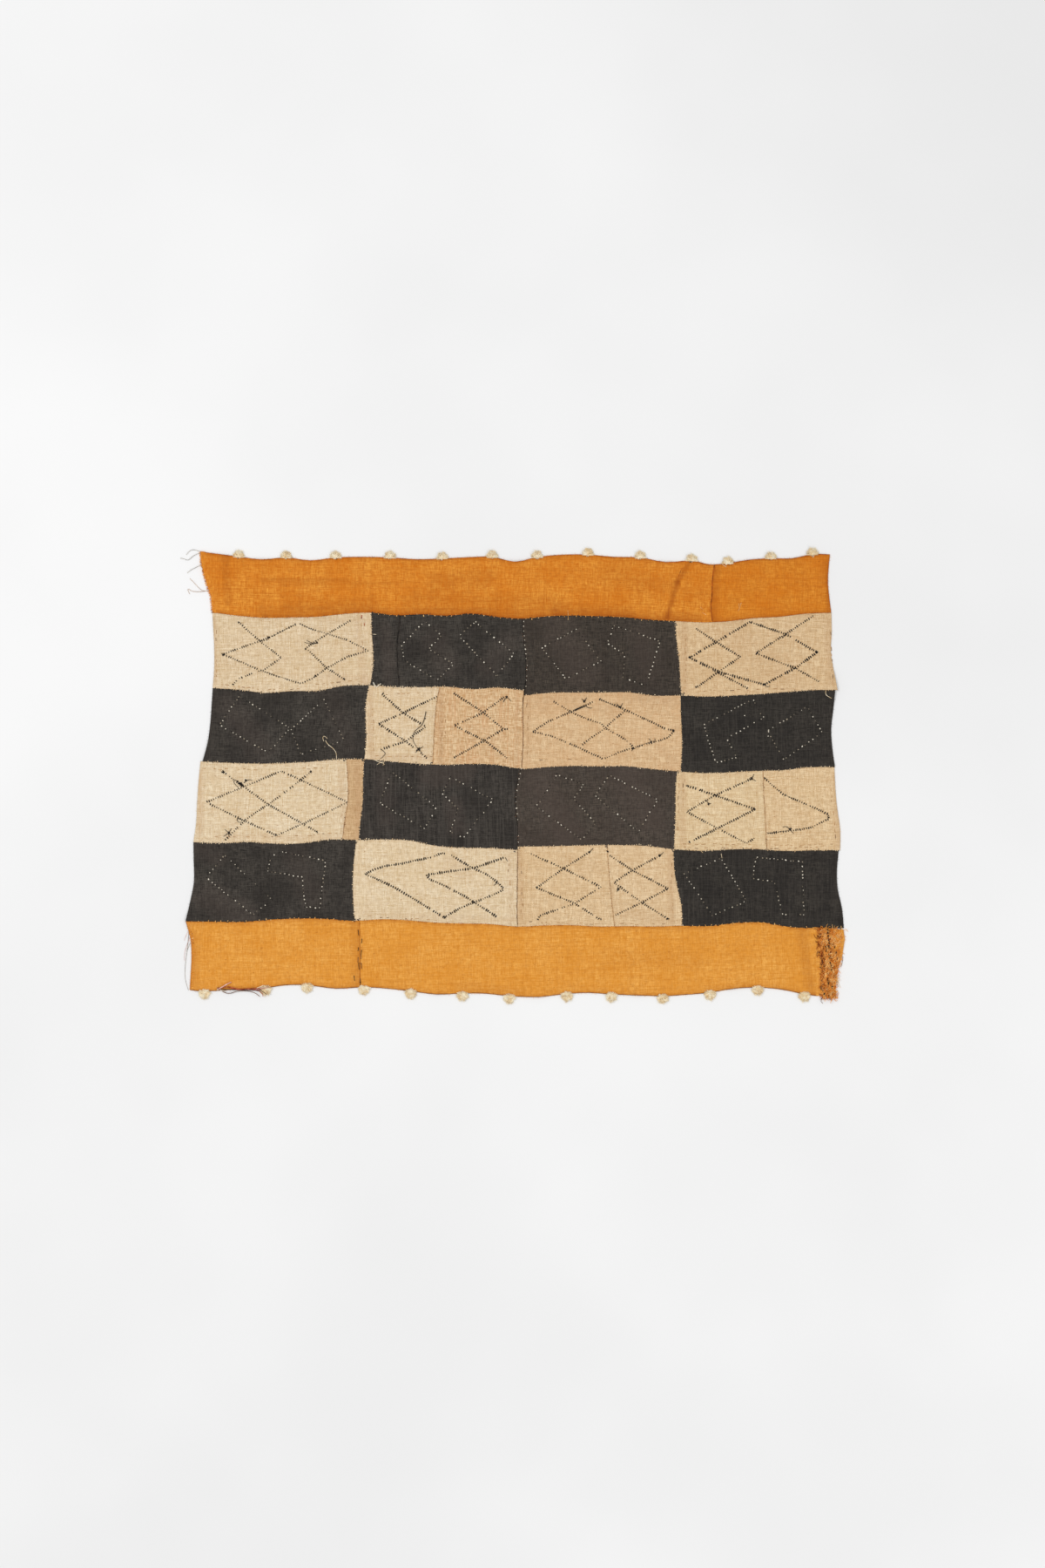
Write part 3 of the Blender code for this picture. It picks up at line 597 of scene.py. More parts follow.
panelOneA = raffia(
    "panel_1a", natural, creamCloth,
    lines=[
        [(256, 751), (297, 736.6), (309, 732), (340, 716.5)],
        [(344, 716), (358, 722.5), (375.4, 727.5), (399, 735), (423, 747)],
        [(423, 747), (399, 754), (375.4, 767), (360, 778), (346, 785)],
        [(346, 785), (333, 781), (317, 776), (298, 769), (256, 751)],
        [(273.5, 713.6), (298, 735.6), (323, 755), (303.6, 769), (292, 772), (273, 779.6), (268, 786)],
        [(403, 712), (379, 726), (358, 739.4), (351.4, 744), (368.7, 760.5), (375.4, 767), (396, 780)],
    ],
    running=[[(312, 731), (340, 716.5)], [(344, 716), (362, 724)], [(333, 781), (304, 771)]],
    hemDashes=[
        [(248.4, 722), (248.6, 782)], [(254, 786), (300, 791)], [(300, 791.5), (345, 791)],
        [(415.5, 714), (416.5, 748)], [(360, 786), (415, 781)],
    ],
    bold=0.94,
    knots=[
        (256, 751.5, 2.6), (308, 732, 2.0), (351, 745, 1.4), (364, 738, 1.8), (362, 776, 1.6), (395.5, 779.5, 1.4),
        (274, 714, 1.0),
    ],
    whiskers=[[(364, 738), (357, 741), (350, 737)], [(361, 739), (355, 737), (352, 735)], [(308, 732), (306, 736)]],
    curls=[
        ("redThread", 0.75, [(415.4, 706.2), (415.2, 710.4)]), ("redThread", 0.5, [(418.4, 715.6), (418.6, 718.6)]),
    ],
    stains=[
        ((245, 712), (245, 782), 5, 0.3), ((410, 715), (418, 780), 6, 0.18), ((360, 775), (420, 782), 8, 0.14),
        ((300, 708), (420, 712), 4, 0.12),
    ],
)
stripOneB = raffia(
    "strip_1b", dark, darkCloth,
    creases=[([(444, 708), (442, 745), (444, 786)], 2.0, -0.8)],
    stains=[((443, 720), (447, 780), 10, 0.25)],
)
panelOneB = raffia(
    "panel_1b", dark, darkCloth,
    dots=[
        [(488, 713), (507, 729), (492, 745), (521, 762), (502, 781), (464, 758), (461, 741), (488, 713)],
        [(545, 714), (590, 750), (571, 776)], [(571, 776), (527, 730), (545, 714)],
    ],
    stains=[((500, 735), (512, 762), 22, 0.2), ((560, 765), (585, 735), 18, 0.22)],
)
panelOneC = raffia(
    "panel_1c", dark, changed(darkCloth, high=(86, 76, 66), cloud=(56, 48, 42)),
    dots=[
        [(662, 722), (690, 759), (650, 779), (622, 744), (662, 722)],
        [(704, 718), (758, 736), (742, 787), (715, 778), (718, 752), (698, 738), (704, 718)],
    ],
    creases=[([(764, 703), (764, 725)], 2.2, -0.7)],
    stains=[((640, 722), (670, 770), 26, 0.3), ((735, 728), (748, 770), 20, 0.25)],
)
panelOneD = raffia(
    "panel_1d", tan, changed(creamCloth, low=(184, 143, 96), high=(249, 224, 184), cloud=(210, 177, 132)),
    lines=[
        [(792, 755), (861, 714), (902, 728), (938, 749)],
        [(938, 749), (913, 767), (877, 786), (828, 772), (792, 755)],
        [(798, 721), (822, 737), (850, 754), (824, 772), (800, 789)],
        [(934, 707), (902, 728), (868, 750), (913, 767), (941, 783)], [(792, 755), (824, 772), (858, 790)],
    ],
    running=[[(866, 716), (890, 724)]],
    hemDashes=[[(787, 712), (787, 785)], [(800, 793), (900, 791)], [(954, 718), (956, 785)]],
    bold=1.12,
    knots=[(792, 755, 1.8), (799, 789, 1.6), (877, 786, 1.8), (902, 728, 2.0), (938, 749, 1.8)],
    whiskers=[[(902, 728), (898, 733)], [(877, 786), (882, 790), (884, 787)]],
    stains=[((786, 712), (786, 792), 5, 0.3), ((840, 722), (900, 780), 22, 0.1), ((950, 715), (955, 785), 6, 0.22)],
)
panelTwoA = raffia(
    "panel_2a", dark, darkCloth,
    dots=[
        [(275, 799), (333, 836), (308, 864), (252, 832), (275, 799)],
        [(372, 803), (395, 850), (346, 866), (334, 838), (372, 803)],
    ],
    curls=[
        ("creamThread", 0.45, [(374, 850), (375.5, 854), (383, 859), (387, 865.5), (386.5, 872)]),
        ("creamThread", 0.4, [(372, 851), (370, 847), (373, 844), (376, 848)]),
    ],
    stains=[((262, 810), (300, 860), 20, 0.2), ((380, 800), (400, 860), 18, 0.15)],
)
panelTwoBLight = raffia(
    "panel_2b_light", natural, changed(creamCloth, low=(194, 162, 117)),
    lines=[
        [(438, 796), (463, 818.5), (489, 834), (466, 851), (439, 860)],
        [(503, 799), (463, 818.5), (435, 831), (466, 851), (490, 870)],
    ],
    hemDashes=[
        [(435, 797), (498, 796.5)], [(430, 868), (497, 868)], [(428.5, 812), (428.5, 862)],
        [(432.5, 824), (432, 846)],
    ],
    bold=1.08,
    knots=[(481, 860, 2.6), (440, 796, 1.2), (463, 818.5, 1.2), (488, 825, 1.2)],
    whiskers=[
        [(489.5, 817), (488, 825), (484, 834), (477, 838), (472.6, 847), (478, 857), (481, 861)],
        [(437, 860), (442, 863), (443, 866), (437, 871)], [(481, 860), (486, 857)], [(481, 860), (477, 864)],
        [(481, 860), (485, 865)],
    ],
    curls=[
        ("creamThread", 0.4, [(430, 872), (436, 876), (442, 874), (440, 879)]),
        ("whiteThread", 0.75, [(428.8, 783.2), (430, 786.4), (431.2, 789.2)]),
        ("whiteThread", 0.75, [(437.6, 785), (434.2, 786.6), (432.6, 789)]),
        ("creamThread", 0.35, [(433, 878), (438, 873), (442, 878)]),
    ],
    stains=[((426, 792), (426, 872), 4, 0.25), ((430, 868), (498, 870), 4, 0.2)],
)
panelTwoBTan = raffia(
    "panel_2b_tan", tan,
    changed(
        creamCloth, low=(180, 135, 86), high=(250, 224, 183), cloud=(210, 170, 120), upright=0.5,
        streak=(202, 146, 98), bundles=0.6,
    ),
    lines=[
        [(520, 795), (555, 818), (578, 837), (583, 837)], [(578, 837), (555, 851), (521, 870)],
        [(579, 800), (555, 818), (522, 833), (558, 851), (582, 870)],
    ],
    hemDashes=[[(507, 795), (507.5, 872)], [(511, 800), (511, 850)]],
    knots=[(582, 800, 2.0), (555, 818, 1.2), (580, 837, 1.2)],
    whiskers=[[(578, 806), (582, 797), (587, 805)]],
    creases=[([(513, 790), (513, 876)], 1.6, -0.4)],
    stains=[((506, 792), (506, 876), 4, 0.4), ((560, 860), (590, 872), 10, 0.14), ((594, 795), (594, 875), 3, 0.24)],
)
panelTwoC = raffia(
    "panel_2c", tan,
    changed(creamCloth, low=(184, 140, 94), high=(248, 220, 178), cloud=(216, 172, 126), clouds=0.35, flecks=0.75),
    lines=[
        [(612, 840), (628, 829), (656, 817), (670, 811), (682, 805)],
        [(688, 802.5), (710, 811), (741, 825.5), (763, 836), (774, 839)],
        [(774, 839), (767, 847), (745.5, 853.6), (728, 858), (710, 864), (693, 871.4)],
        [(693, 871.4), (667, 859.3), (653.6, 853.6), (633, 845), (612, 840)],
        [(635, 805), (657, 818), (674, 825.4), (689, 830), (697, 837), (718, 849), (727, 857)],
        [(718, 815.7), (705, 826), (695, 836), (679, 846.7), (667, 856)],
    ],
    running=[[(746, 852), (730, 858)], [(688, 803), (708, 811)]],
    hemDashes=[[(606, 806), (606, 866)], [(612, 872), (680, 872)]],
    bold=0.94,
    knots=[(671, 805, 2.0), (712, 812, 2.2), (727, 859, 2.6), (748, 852, 2.0), (773, 839, 2.2), (656, 817, 1.4)],
    whiskers=[
        [(658, 816), (665, 812.4), (672, 810)], [(659, 815.4), (666, 811.6), (672, 809.6)],
        [(660, 816.4), (666, 813), (672, 811)], [(672, 810), (676, 814), (680, 813)], [(671, 805), (668, 802)],
        [(671, 805), (674, 801)], [(712, 812), (715, 807)], [(712, 812), (708, 808)], [(748, 852), (745, 848)],
        [(752, 852), (752, 848)],
    ],
    stains=[
        ((620, 805), (660, 800), 16, 0.2), ((715, 798), (772, 804), 10, 0.28), ((606, 800), (606, 875), 4, 0.22),
        ((690, 812), (705, 818), 12, 0.16), ((760, 860), (775, 876), 8, 0.16),
    ],
)
panelTwoD = raffia(
    "panel_2d", dark, blackerCloth,
    dots=[
        [(864, 803), (877, 824), (834, 848), (846, 869), (822, 876), (808, 832), (864, 803)],
        [(927, 811), (944, 841), (900, 872), (881, 839), (927, 811)],
    ],
    extraDots=[(855, 821.5), (882, 845)],
    curls=[("creamThread", 0.45, [(948, 793), (947, 797), (951, 800), (954.5, 801.7)])],
)
panelThreeA = raffia(
    "panel_3a", natural, changed(creamCloth, low=(196, 165, 121), high=(254, 240, 212)),
    lines=[
        [(237, 921), (256, 913), (288, 900), (323, 885)], [(323, 885), (364, 904), (399, 921)],
        [(399, 921), (360, 940), (318, 959)], [(318, 959), (278, 941), (237, 921)],
        [(256, 886), (284, 906), (308, 923.5), (336, 939), (364, 955)],
        [(357, 886), (332, 906), (308, 923.5), (283, 940), (259, 964)],
    ],
    hemDashes=[
        [(232, 883), (300, 883)], [(300, 883.5), (372, 882)], [(233, 960.5), (310, 960.5)], [(310, 961), (392, 956)],
    ],
    knots=[
        (256, 886, 2.2), (276, 899, 3.2), (278, 902, 2.6), (263, 956, 2.0), (357, 886, 1.8), (364, 955, 1.6),
        (282, 896, 2.0),
    ],
    whiskers=[
        [(276, 899), (270, 894), (268, 899), (274, 904)], [(278, 941), (272, 938), (273, 945), (279, 944)],
        [(263, 956), (258, 952)], [(263, 956), (266, 951)], [(263, 956), (257, 960)],
        [(280, 899), (286, 893), (290, 896)],
    ],
    stains=[((230, 885), (230, 955), 5, 0.25), ((392, 885), (396, 955), 6, 0.16), ((250, 960), (390, 962), 4, 0.16)],
)
stripThreeA = raffia(
    "strip_3a", tan, changed(creamCloth, low=(166, 124, 80), high=(236, 204, 160), cloud=(200, 160, 114)),
    stains=[((410, 880), (412, 960), 5, 0.3)],
)
panelThreeB = raffia(
    "panel_3b", dark, changed(darkCloth, upright=0.4, high=(78, 72, 66), streak=(92, 86, 79)),
    dots=[
        [(450, 886), (501, 927), (488, 951), (436, 922), (450, 886)],
        [(517, 892), (566, 918), (532, 962), (517, 955), (526, 929), (508, 911), (517, 892)],
    ],
    stains=[((495, 890), (530, 885), 20, 0.35), ((520, 925), (524, 950), 14, 0.3), ((440, 890), (444, 940), 14, 0.2)],
)
panelThreeC = raffia(
    "panel_3c", dark, changed(darkCloth, low=(36, 31, 27), high=(96, 85, 75), cloud=(66, 56, 49)),
    dots=[
        [(640, 889), (670, 901), (659, 917), (684, 945), (668, 964), (616, 926), (640, 889)],
        [(700, 890), (755, 918), (733, 955), (683, 913), (700, 890)],
    ],
    stains=[((620, 900), (650, 955), 24, 0.35), ((720, 890), (745, 940), 24, 0.3)],
)
panelThreeDLeft = raffia(
    "panel_3d_left", natural, changed(creamCloth, low=(192, 156, 108), high=(254, 234, 196), flecks=0.75),
    lines=[
        [(789, 902), (821, 913), (867, 929), (824, 951), (791, 967)],
        [(863, 894), (821, 913), (788.5, 932), (824, 951), (857, 968), (870, 960)],
    ],
    hemDashes=[
        [(780, 886), (778, 962)], [(783, 968), (868, 970)], [(784, 972.5), (872, 973)], [(786, 893), (784, 930)],
    ],
    bold=1.05,
    knots=[(863, 894, 2.2), (814, 923, 2.0), (789, 902, 1.2), (867, 929, 1.4)],
    whiskers=[[(863, 894), (866, 889)], [(863, 894), (868, 897)], [(814, 923), (810, 918)]],
    stains=[((784, 890), (784, 970), 5, 0.3), ((800, 890), (860, 888), 5, 0.12)],
)
panelThreeDRight = raffia(
    "panel_3d_right", natural, changed(creamCloth, low=(190, 149, 100), high=(254, 230, 190), flecks=0.8),
    lines=[
        [(877.5, 893), (899, 912), (937, 928), (951, 935), (951.6, 940), (931, 950), (907, 954), (879, 957)],
    ],
    running=[[(907, 953), (880, 957)], [(900, 912), (915, 919)]],
    hemDashes=[[(881, 971), (960, 969)], [(952, 884), (960, 965)], [(884, 974), (950, 972)]],
    bold=1.05,
    knots=[(907, 952, 2.2), (951, 938, 1.6), (878, 893, 1.2)],
    whiskers=[[(907, 952), (903, 947), (899, 950)], [(907, 952), (911, 957)]],
    stains=[((960, 890), (962, 970), 5, 0.25)],
)
panelFourA = raffia(
    "panel_4a", dark, darkCloth,
    dots=[
        [(258, 982), (313, 1033), (290, 1050), (237, 1007), (258, 982)],
        [(312, 982), (325, 978), (374, 988), (367, 1042), (351, 1041), (347, 1007), (307, 1000), (312, 982)],
    ],
    stains=[
        ((240, 1030), (280, 1052), 22, 0.25), ((340, 985), (360, 1030), 20, 0.2), ((230, 975), (250, 985), 14, 0.2),
    ],
)
panelFourB = raffia(
    "panel_4b", natural, changed(creamCloth, low=(197, 167, 122), high=(254, 238, 209), cloud=(224, 198, 158)),
    bold=1.12, hemDashes=[[(416, 1052), (500, 1056)], [(584, 985), (586, 1050)]],
    lines=[
        [
            (418.6, 1003.5), (431, 997.6), (442, 994), (463, 991), (481, 987), (495, 984.4), (507.6, 979.2),
            (511, 980.3),
        ],
        [(518, 981.5), (530.6, 989.5), (543, 996.4), (560, 1004.4), (571, 1012.5), (579, 1021)],
        [(579, 1021), (564, 1028), (545.5, 1035.4), (529, 1042), (510, 1052.7)],
        [(510, 1052.7), (490, 1041), (459, 1022), (433, 1009), (418.6, 1003.5)],
        [
            (579, 984.4), (560, 991), (544, 996.4), (534, 998), (518, 1000), (504, 1002), (490, 1004.4),
            (492.7, 1009), (511, 1017), (534, 1029), (545.5, 1036.6), (559, 1044.6), (571, 1053),
        ],
    ],
    knots=[(511, 1053, 1.6), (544, 1035.5, 1.8), (506, 980, 1.2)],
    whiskers=[[(580, 984.5), (583, 989)], [(571, 1013), (567, 1016.5)]],
    stains=[
        ((520, 990), (536, 1002), 14, 0.14), ((415, 1048), (590, 1056), 4, 0.14), ((586, 980), (588, 1055), 5, 0.16),
    ],
)
panelFourCLeft = raffia(
    "panel_4c_left", natural, changed(creamCloth, low=(188, 149, 102), high=(254, 229, 189), cloud=(212, 176, 130)),
    lines=[
        [(609, 980), (647, 997), (690, 1018), (660, 1037), (620, 1051), (616.5, 1057)],
        [(677, 978), (647, 997), (616, 1019), (660, 1037), (690, 1056)],
    ],
    hemDashes=[[(599, 982), (599, 1052)], [(605, 1058), (690, 1061)]],
    knots=[(677, 978, 1.8), (616, 1019, 1.4), (690, 1055, 1.2)],
    whiskers=[[(677, 978), (681, 974)]],
    stains=[((598, 980), (598, 1055), 4, 0.25), ((650, 985), (690, 1000), 12, 0.12)],
)
panelFourCRight = raffia(
    "panel_4c_right", natural, changed(creamCloth, low=(190, 152, 107), high=(255, 231, 192), cloud=(212, 176, 130)),
    lines=[
        [(700, 982), (726, 999), (767, 1020), (737, 1036), (706, 1051)],
        [(758, 982), (726, 999), (705, 1013), (737, 1036), (767, 1055)],
    ],
    hemDashes=[[(771, 982), (772, 1052)], [(702, 1061), (765, 1061)]],
    knots=[(698, 977, 1.8), (758, 982, 1.8), (767, 1055, 1.4), (710, 1021, 2.0)],
    whiskers=[[(710, 1018), (708, 1024)], [(758, 982), (762, 978)]],
    stains=[((770, 980), (772, 1055), 5, 0.3), ((700, 1045), (770, 1058), 6, 0.14)],
)
panelFourD = raffia(
    "panel_4d", dark, blackerCloth,
    dots=[
        [(828, 985), (857, 1034), (818, 1051), (786, 1003), (828, 985)],
        [(868, 984), (921, 989), (923, 1050), (898, 1050), (890, 1013), (864, 1008), (868, 984)],
    ],
)
topBorderLeft = raffia(
    "border_top_left", orange, edgeWear=0.9, frayed=True, finish=orangeCloth,
    creases=[
        ([(785, 645), (779, 662), (773, 680), (768, 697), (766, 712)], 3.6, -2.0),
        ([(789, 648), (783, 664), (777, 682)], 4.0, 0.8), ([(250, 640), (256, 655), (262, 664)], 5.0, 0.9),
    ],
    # folds: a rust thread sunk along the crease's trough, painted shade in the fold
    folds=[[(783, 652), (779, 662), (773, 680), (768, 697), (767, 708)]],
    # the narrow lines from (790, 648) down to (766, 708) are painted shade in the crease
    stains=[
        ((300, 702), (800, 710), 9, 0.3), ((470, 690), (640, 694), 14, 0.2), ((790, 648), (778, 668), 4, 0.55),
        ((778, 668), (766, 708), 4, 0.6), ((300, 666), (400, 666), 2.4, 0.3), ((320, 671), (460, 669), 2.2, 0.22),
        ((500, 668), (560, 664), 14, 0.2), ((258, 636), (262, 690), 7, 0.3), ((700, 660), (760, 672), 16, 0.16),
        ((640, 700), (720, 703), 10, 0.25), ((330, 695), (430, 692), 9, 0.18),
    ],
)
topBorderRight = raffia(
    "border_top_right", orange, edgeWear=0.9, finish=changed(orangeCloth, low=(194, 108, 18), high=(238, 158, 56)),
    stains=[((824, 655), (822, 712), 5, 0.25), ((948, 645), (952, 700), 5, 0.2)],
)
bottomBorderLeft = raffia(
    "border_bottom_left", orange, edgeWear=0.9, finish=amberCloth,
    stains=[((406, 1062), (409, 1130), 6, 0.2), ((225, 1070), (225, 1130), 5, 0.16)],
)
bottomBorderRight = raffia(
    "border_bottom_right", orange, edgeWear=0.9, frayed=True, finish=amberCloth,
    stains=[
        ((520, 1130), (600, 1138), 6, 0.16), ((920, 1070), (932, 1140), 8, 0.3), ((700, 1100), (800, 1104), 14, 0.1),
    ],
)

patchwork = [
    [panelOneA, stripOneB, panelOneB, panelOneC, panelOneD],
    [panelTwoA, panelTwoBLight, panelTwoBTan, panelTwoC, panelTwoD],
    [panelThreeA, stripThreeA, panelThreeB, panelThreeC, panelThreeDLeft, panelThreeDRight],
    [panelFourA, panelFourB, panelFourCLeft, panelFourCRight, panelFourD],
]
rows = [*patchwork, [topBorderLeft, topBorderRight, bottomBorderLeft, bottomBorderRight]]
for row in rows:
    for piece in row:
        layPiece(piece)
    print("laid", ", ".join(piece["solid"] for piece in row))

clothTop = BVHTree.FromPolygons(allCorners, allFaces)


def clothUnder(spot):
    return clothTop.ray_cast(Vector((spot.x, spot.y, overhead)), -up)


def onCloth(spot, lift=0.0):
    # the point on the laid cloth under a place, and which way it faces
    hit, facing, which, away = clothUnder(spot)
    if hit is None:
        return Vector((spot.x, spot.y, max(lift, 0.3 * mm))), up.copy()
    return Vector((hit.x, hit.y, hit.z + lift)), -facing if facing.z < 0 else facing


def overCloth(points, lift, luck=None, wander=0.0):
    laid = []
    for px, py in points:
        spot = spotAt(px, py)
        if luck:
            spot += Vector((luck.uniform(-1, 1), luck.uniform(-1, 1))) * wander * step
        laid.append(onCloth(spot, lift)[0])
    return laid


def walkLine(line, pitch, luck, uneven=0.18):
    # places along a line, about a pitch apart, each with its heading
    carried = luck.uniform(0.2, 0.8) * pitch
    for start, end in zip(line, line[1:]):
        run = end - start
        if run.length < 1e-6:
            continue
        heading = run.normalized()
        at = carried
        while at < run.length:
            yield start + heading * at, heading
            at += pitch * (1 + luck.uniform(-uneven, uneven))
        carried = at - run.length


def makeGrain():
    form = bmesh.new()
    bmesh.ops.create_uvsphere(form, u_segments=6, v_segments=4, radius=1)
    return meshOf("stitchGrain", form)


stitchGrain = makeGrain()


def stitch(sewing, spot, heading, length, width, height, lift=0.0):
    # one short stitch, a smooth grain that is half sunk in the cloth
    place, facing = onCloth(spot, lift)
    across = Vector((heading.x, heading.y, 0))
    across = (across - facing * across.dot(facing)).normalized()
    turn = Matrix((across, facing.cross(across), facing)).transposed().to_4x4()
    size = Matrix.Diagonal((length / 2, width / 2, height, 1))
    grainCopy = stitchGrain.copy()
    grainCopy.transform(Matrix.Translation(place) @ turn @ size)
    sewing.from_mesh(grainCopy)
    bpy.data.meshes.remove(grainCopy)


def finishStitches(sewing, name, thread, slot=None):
    if not sewing.verts:
        sewing.free()
        return
    for face in sewing.faces:
        face.smooth = True
    sewing.normal_update()
    setOut(name, meshOf(name, sewing), slot or threadSlot(thread), paints[thread])


def spinThreads(name, runs, slot=None, sides=1, smooth=3):
    # many loose threads in one mesh: each run is (thread, radius in mm, points, taper)
    names = sorted({run[0] for run in runs})
    curve = bpy.data.curves.new(name, "CURVE")
    curve.dimensions = "3D"
    curve.bevel_depth = mm
    curve.bevel_resolution = sides
    curve.use_fill_caps = True
    for thread in names:
        curve.materials.append(paints[thread])
    for thread, radius, points, taper in runs:
        spline = curve.splines.new("NURBS")
        spline.points.add(len(points) - 1)
        for index, point in enumerate(points):
            share = index / max(1, len(points) - 1)
            spline.points[index].co = (*point, 1)
            spline.points[index].radius = radius * (1 - taper * share)
        spline.order_u = min(3, len(points))
        spline.use_endpoint_u = True
        spline.resolution_u = smooth
        spline.use_smooth = True
        spline.material_index = names.index(thread)
    source = bpy.data.objects.new(name + "_run", curve)
    bpy.context.scene.collection.objects.link(source)
    bpy.context.view_layer.update()
    mesh = bpy.data.meshes.new_from_object(source.evaluated_get(bpy.context.evaluated_depsgraph_get()))
    bpy.data.objects.remove(source)
    return setOut(name, mesh, slot or threadSlot(names[0]))


# the stitches and dots of the patterns: lengths in pixels, heights in mm, and the share that is left out
embroidery = {
    "pitch": 2.65, "length": 3.05, "width": 1.5, "height": 0.6, "swing": 0.16, "wander": 0.26, "left": 0.04,
    "lengths": (0.7, 0.85, 0.95, 1.0, 1.1),
}
eyelets = {"pitch": 4.8, "uneven": 0.22, "size": 1.34, "height": 0.45, "swing": 0.9, "left": 0.14, "faint": 0.4}
hemStitches = {"long": (2.0, 5.0), "apart": (1.5, 4.5), "shown": 0.72, "brown": 0.15, "radius": (0.4, 0.6)}


def sewLines(piece, sewing, luck):
    for line in piece.get("lines", []):
        corners = [spotAt(*spot) for spot in line]
        strong = luck.uniform(0.92, 1.08) * piece.get("bold", 1.0)
        for spot, heading in walkLine(corners, embroidery["pitch"] * step, luck):
            if luck.random() < embroidery["left"]:
                continue
            swing = luck.gauss(0, embroidery["swing"])
            across = Matrix.Rotation(swing, 2) @ Vector((-heading.y, heading.x))
            spot = spot + across * luck.uniform(-1, 1) * embroidery["wander"] * step
            fade = 0.78 + 0.8 * (roughAt(spot, 120, 120, 7) + 0.3)
            long = embroidery["length"] * step * strong * luck.choice(embroidery["lengths"])
            wide = embroidery["width"] * step * strong * luck.uniform(0.8, 1.1)
            long, wide = long * min(1.15, max(0.78, fade)), wide * min(1.15, max(0.8, fade))
            stitch(sewing, spot, across, long, wide, embroidery["height"] * mm)


def sewKnots(piece, sewing, luck):
    for px, py, size in piece.get("knots", []):
        for number in range(int(4 + size * 2)):
            turn = luck.uniform(0, math.pi)
            heading = Vector((math.cos(turn), math.sin(turn)))
            spot = spotAt(px, py) + jitter(luck, 0.4) * size * step * 0.7
            long, wide = luck.uniform(0.9, 1.5) * size * step, luck.uniform(0.7, 1.0) * step
            stitch(sewing, spot, heading, long, wide, luck.uniform(0.5, 1.0) * mm, luck.uniform(0, 0.4) * mm)


def sewDots(piece, bright, faint, between, luck):
    # a pale dot at each place, and between each two a dark one as painted shade
    for line in piece.get("dots", []):
        corners = [spotAt(*spot) for spot in line]
        for spot, heading in walkLine(corners, eyelets["pitch"] * step, luck, eyelets["uneven"]):
            turn = Matrix.Rotation(luck.uniform(-eyelets["swing"], eyelets["swing"]), 2) @ heading
            wander = jitter(luck, 0.3) * step
            halfway = spot + heading * 0.5 * eyelets["pitch"] * step + wander
            stitch(between, halfway, turn, luck.uniform(1.6, 2.6) * step, luck.uniform(0.8, 1.2) * step, 0.25 * mm)
            if luck.random() < eyelets["left"]:
                continue
            size = eyelets["size"] * luck.uniform(0.7, 1.2) * step
            chosen = faint if luck.random() < eyelets["faint"] else bright
            stitch(chosen, spot + wander, turn, size * luck.uniform(1.0, 1.45), size, eyelets["height"] * mm)
    for px, py in piece.get("extraDots", []):
        turn = Vector((1, 0.4)).normalized()
        stitch(bright, spotAt(px, py), turn, 1.6 * step, 1.2 * step, eyelets["height"] * mm)


def hemRuns(start, end, luck):
    # short stitches along a turned hem, some of them lost
    run = (end - start).normalized()
    side = Vector((-run.y, run.x))
    runs = []
    at = luck.uniform(0, 3)
    while at < (end - start).length - 3:
        long = luck.uniform(*hemStitches["long"])
        if luck.random() < hemStitches["shown"]:
            first = start + run * at + side * luck.gauss(0, 0.5)
            last = first + run * long + side * luck.gauss(0, 0.3)
            thread = "brownThread" if luck.random() < hemStitches["brown"] else "hemThread"
            points = overCloth([first, first.lerp(last, 0.5), last], -0.12 * mm)
            runs.append((thread, luck.uniform(*hemStitches["radius"]), points, 0.1))
        at += long + luck.uniform(*hemStitches["apart"])
    return runs


def embroider(piece):
    name = piece["solid"]
    luck = random.Random(name + " needle")
    ticks, bright, faint, between = [bmesh.new() for index in range(4)]
    sewLines(piece, ticks, luck)
    sewKnots(piece, ticks, luck)
    sewDots(piece, bright, faint, between, luck)
    finishStitches(ticks, name + "_embroidery", "blackThread")
    finishStitches(bright, name + "_dots", "whiteThread")
    finishStitches(faint, name + "_faint_dots", "greyThread")
    # the dark dots are painted shade between the pale ones
    finishStitches(between, name + "_shade_dots", "blackThread")
    runs = []
    for start, end in piece.get("running", []):
        points = [Vector(start).lerp(Vector(end), part / 5) for part in range(6)]
        runs.append(("blackThread", 0.28, overCloth(points, 0.1 * mm, luck, 0.25), 0.2))
    for start, end in piece.get("hemDashes", []):
        runs += hemRuns(Vector(start), Vector(end), luck)
    # folds: rust threads laid in a crease as painted shade
    for line in piece.get("folds", []):
        runs.append(("rustThread", 0.28, overCloth(line, -0.1 * mm), 0.3))
    for line in piece.get("whiskers", []):
        runs.append(("blackThread", 0.5, overCloth(line, 0.7 * mm, luck, 0.3), 0.45))
    for thread, radius, line in piece.get("curls", []):
        runs.append((thread, radius, overCloth(line, 0.8 * mm), 0.2))
    if runs:
        spinThreads(name + "_threads", runs)


for row in rows:
    for piece in row:
        embroider(piece)
print("sewed the patterns")


# whip stitches along the seams: lengths in pixels, heights in mm, and the share that is left out
def seamLook(thread, pitch, length, width, height, shift, left, slot=None, along=False):
    return {
        "thread": thread, "pitch": pitch, "length": length, "width": width, "height": height, "shift": shift,
        "left": left, "slot": slot or threadSlot(thread), "along": along,
    }


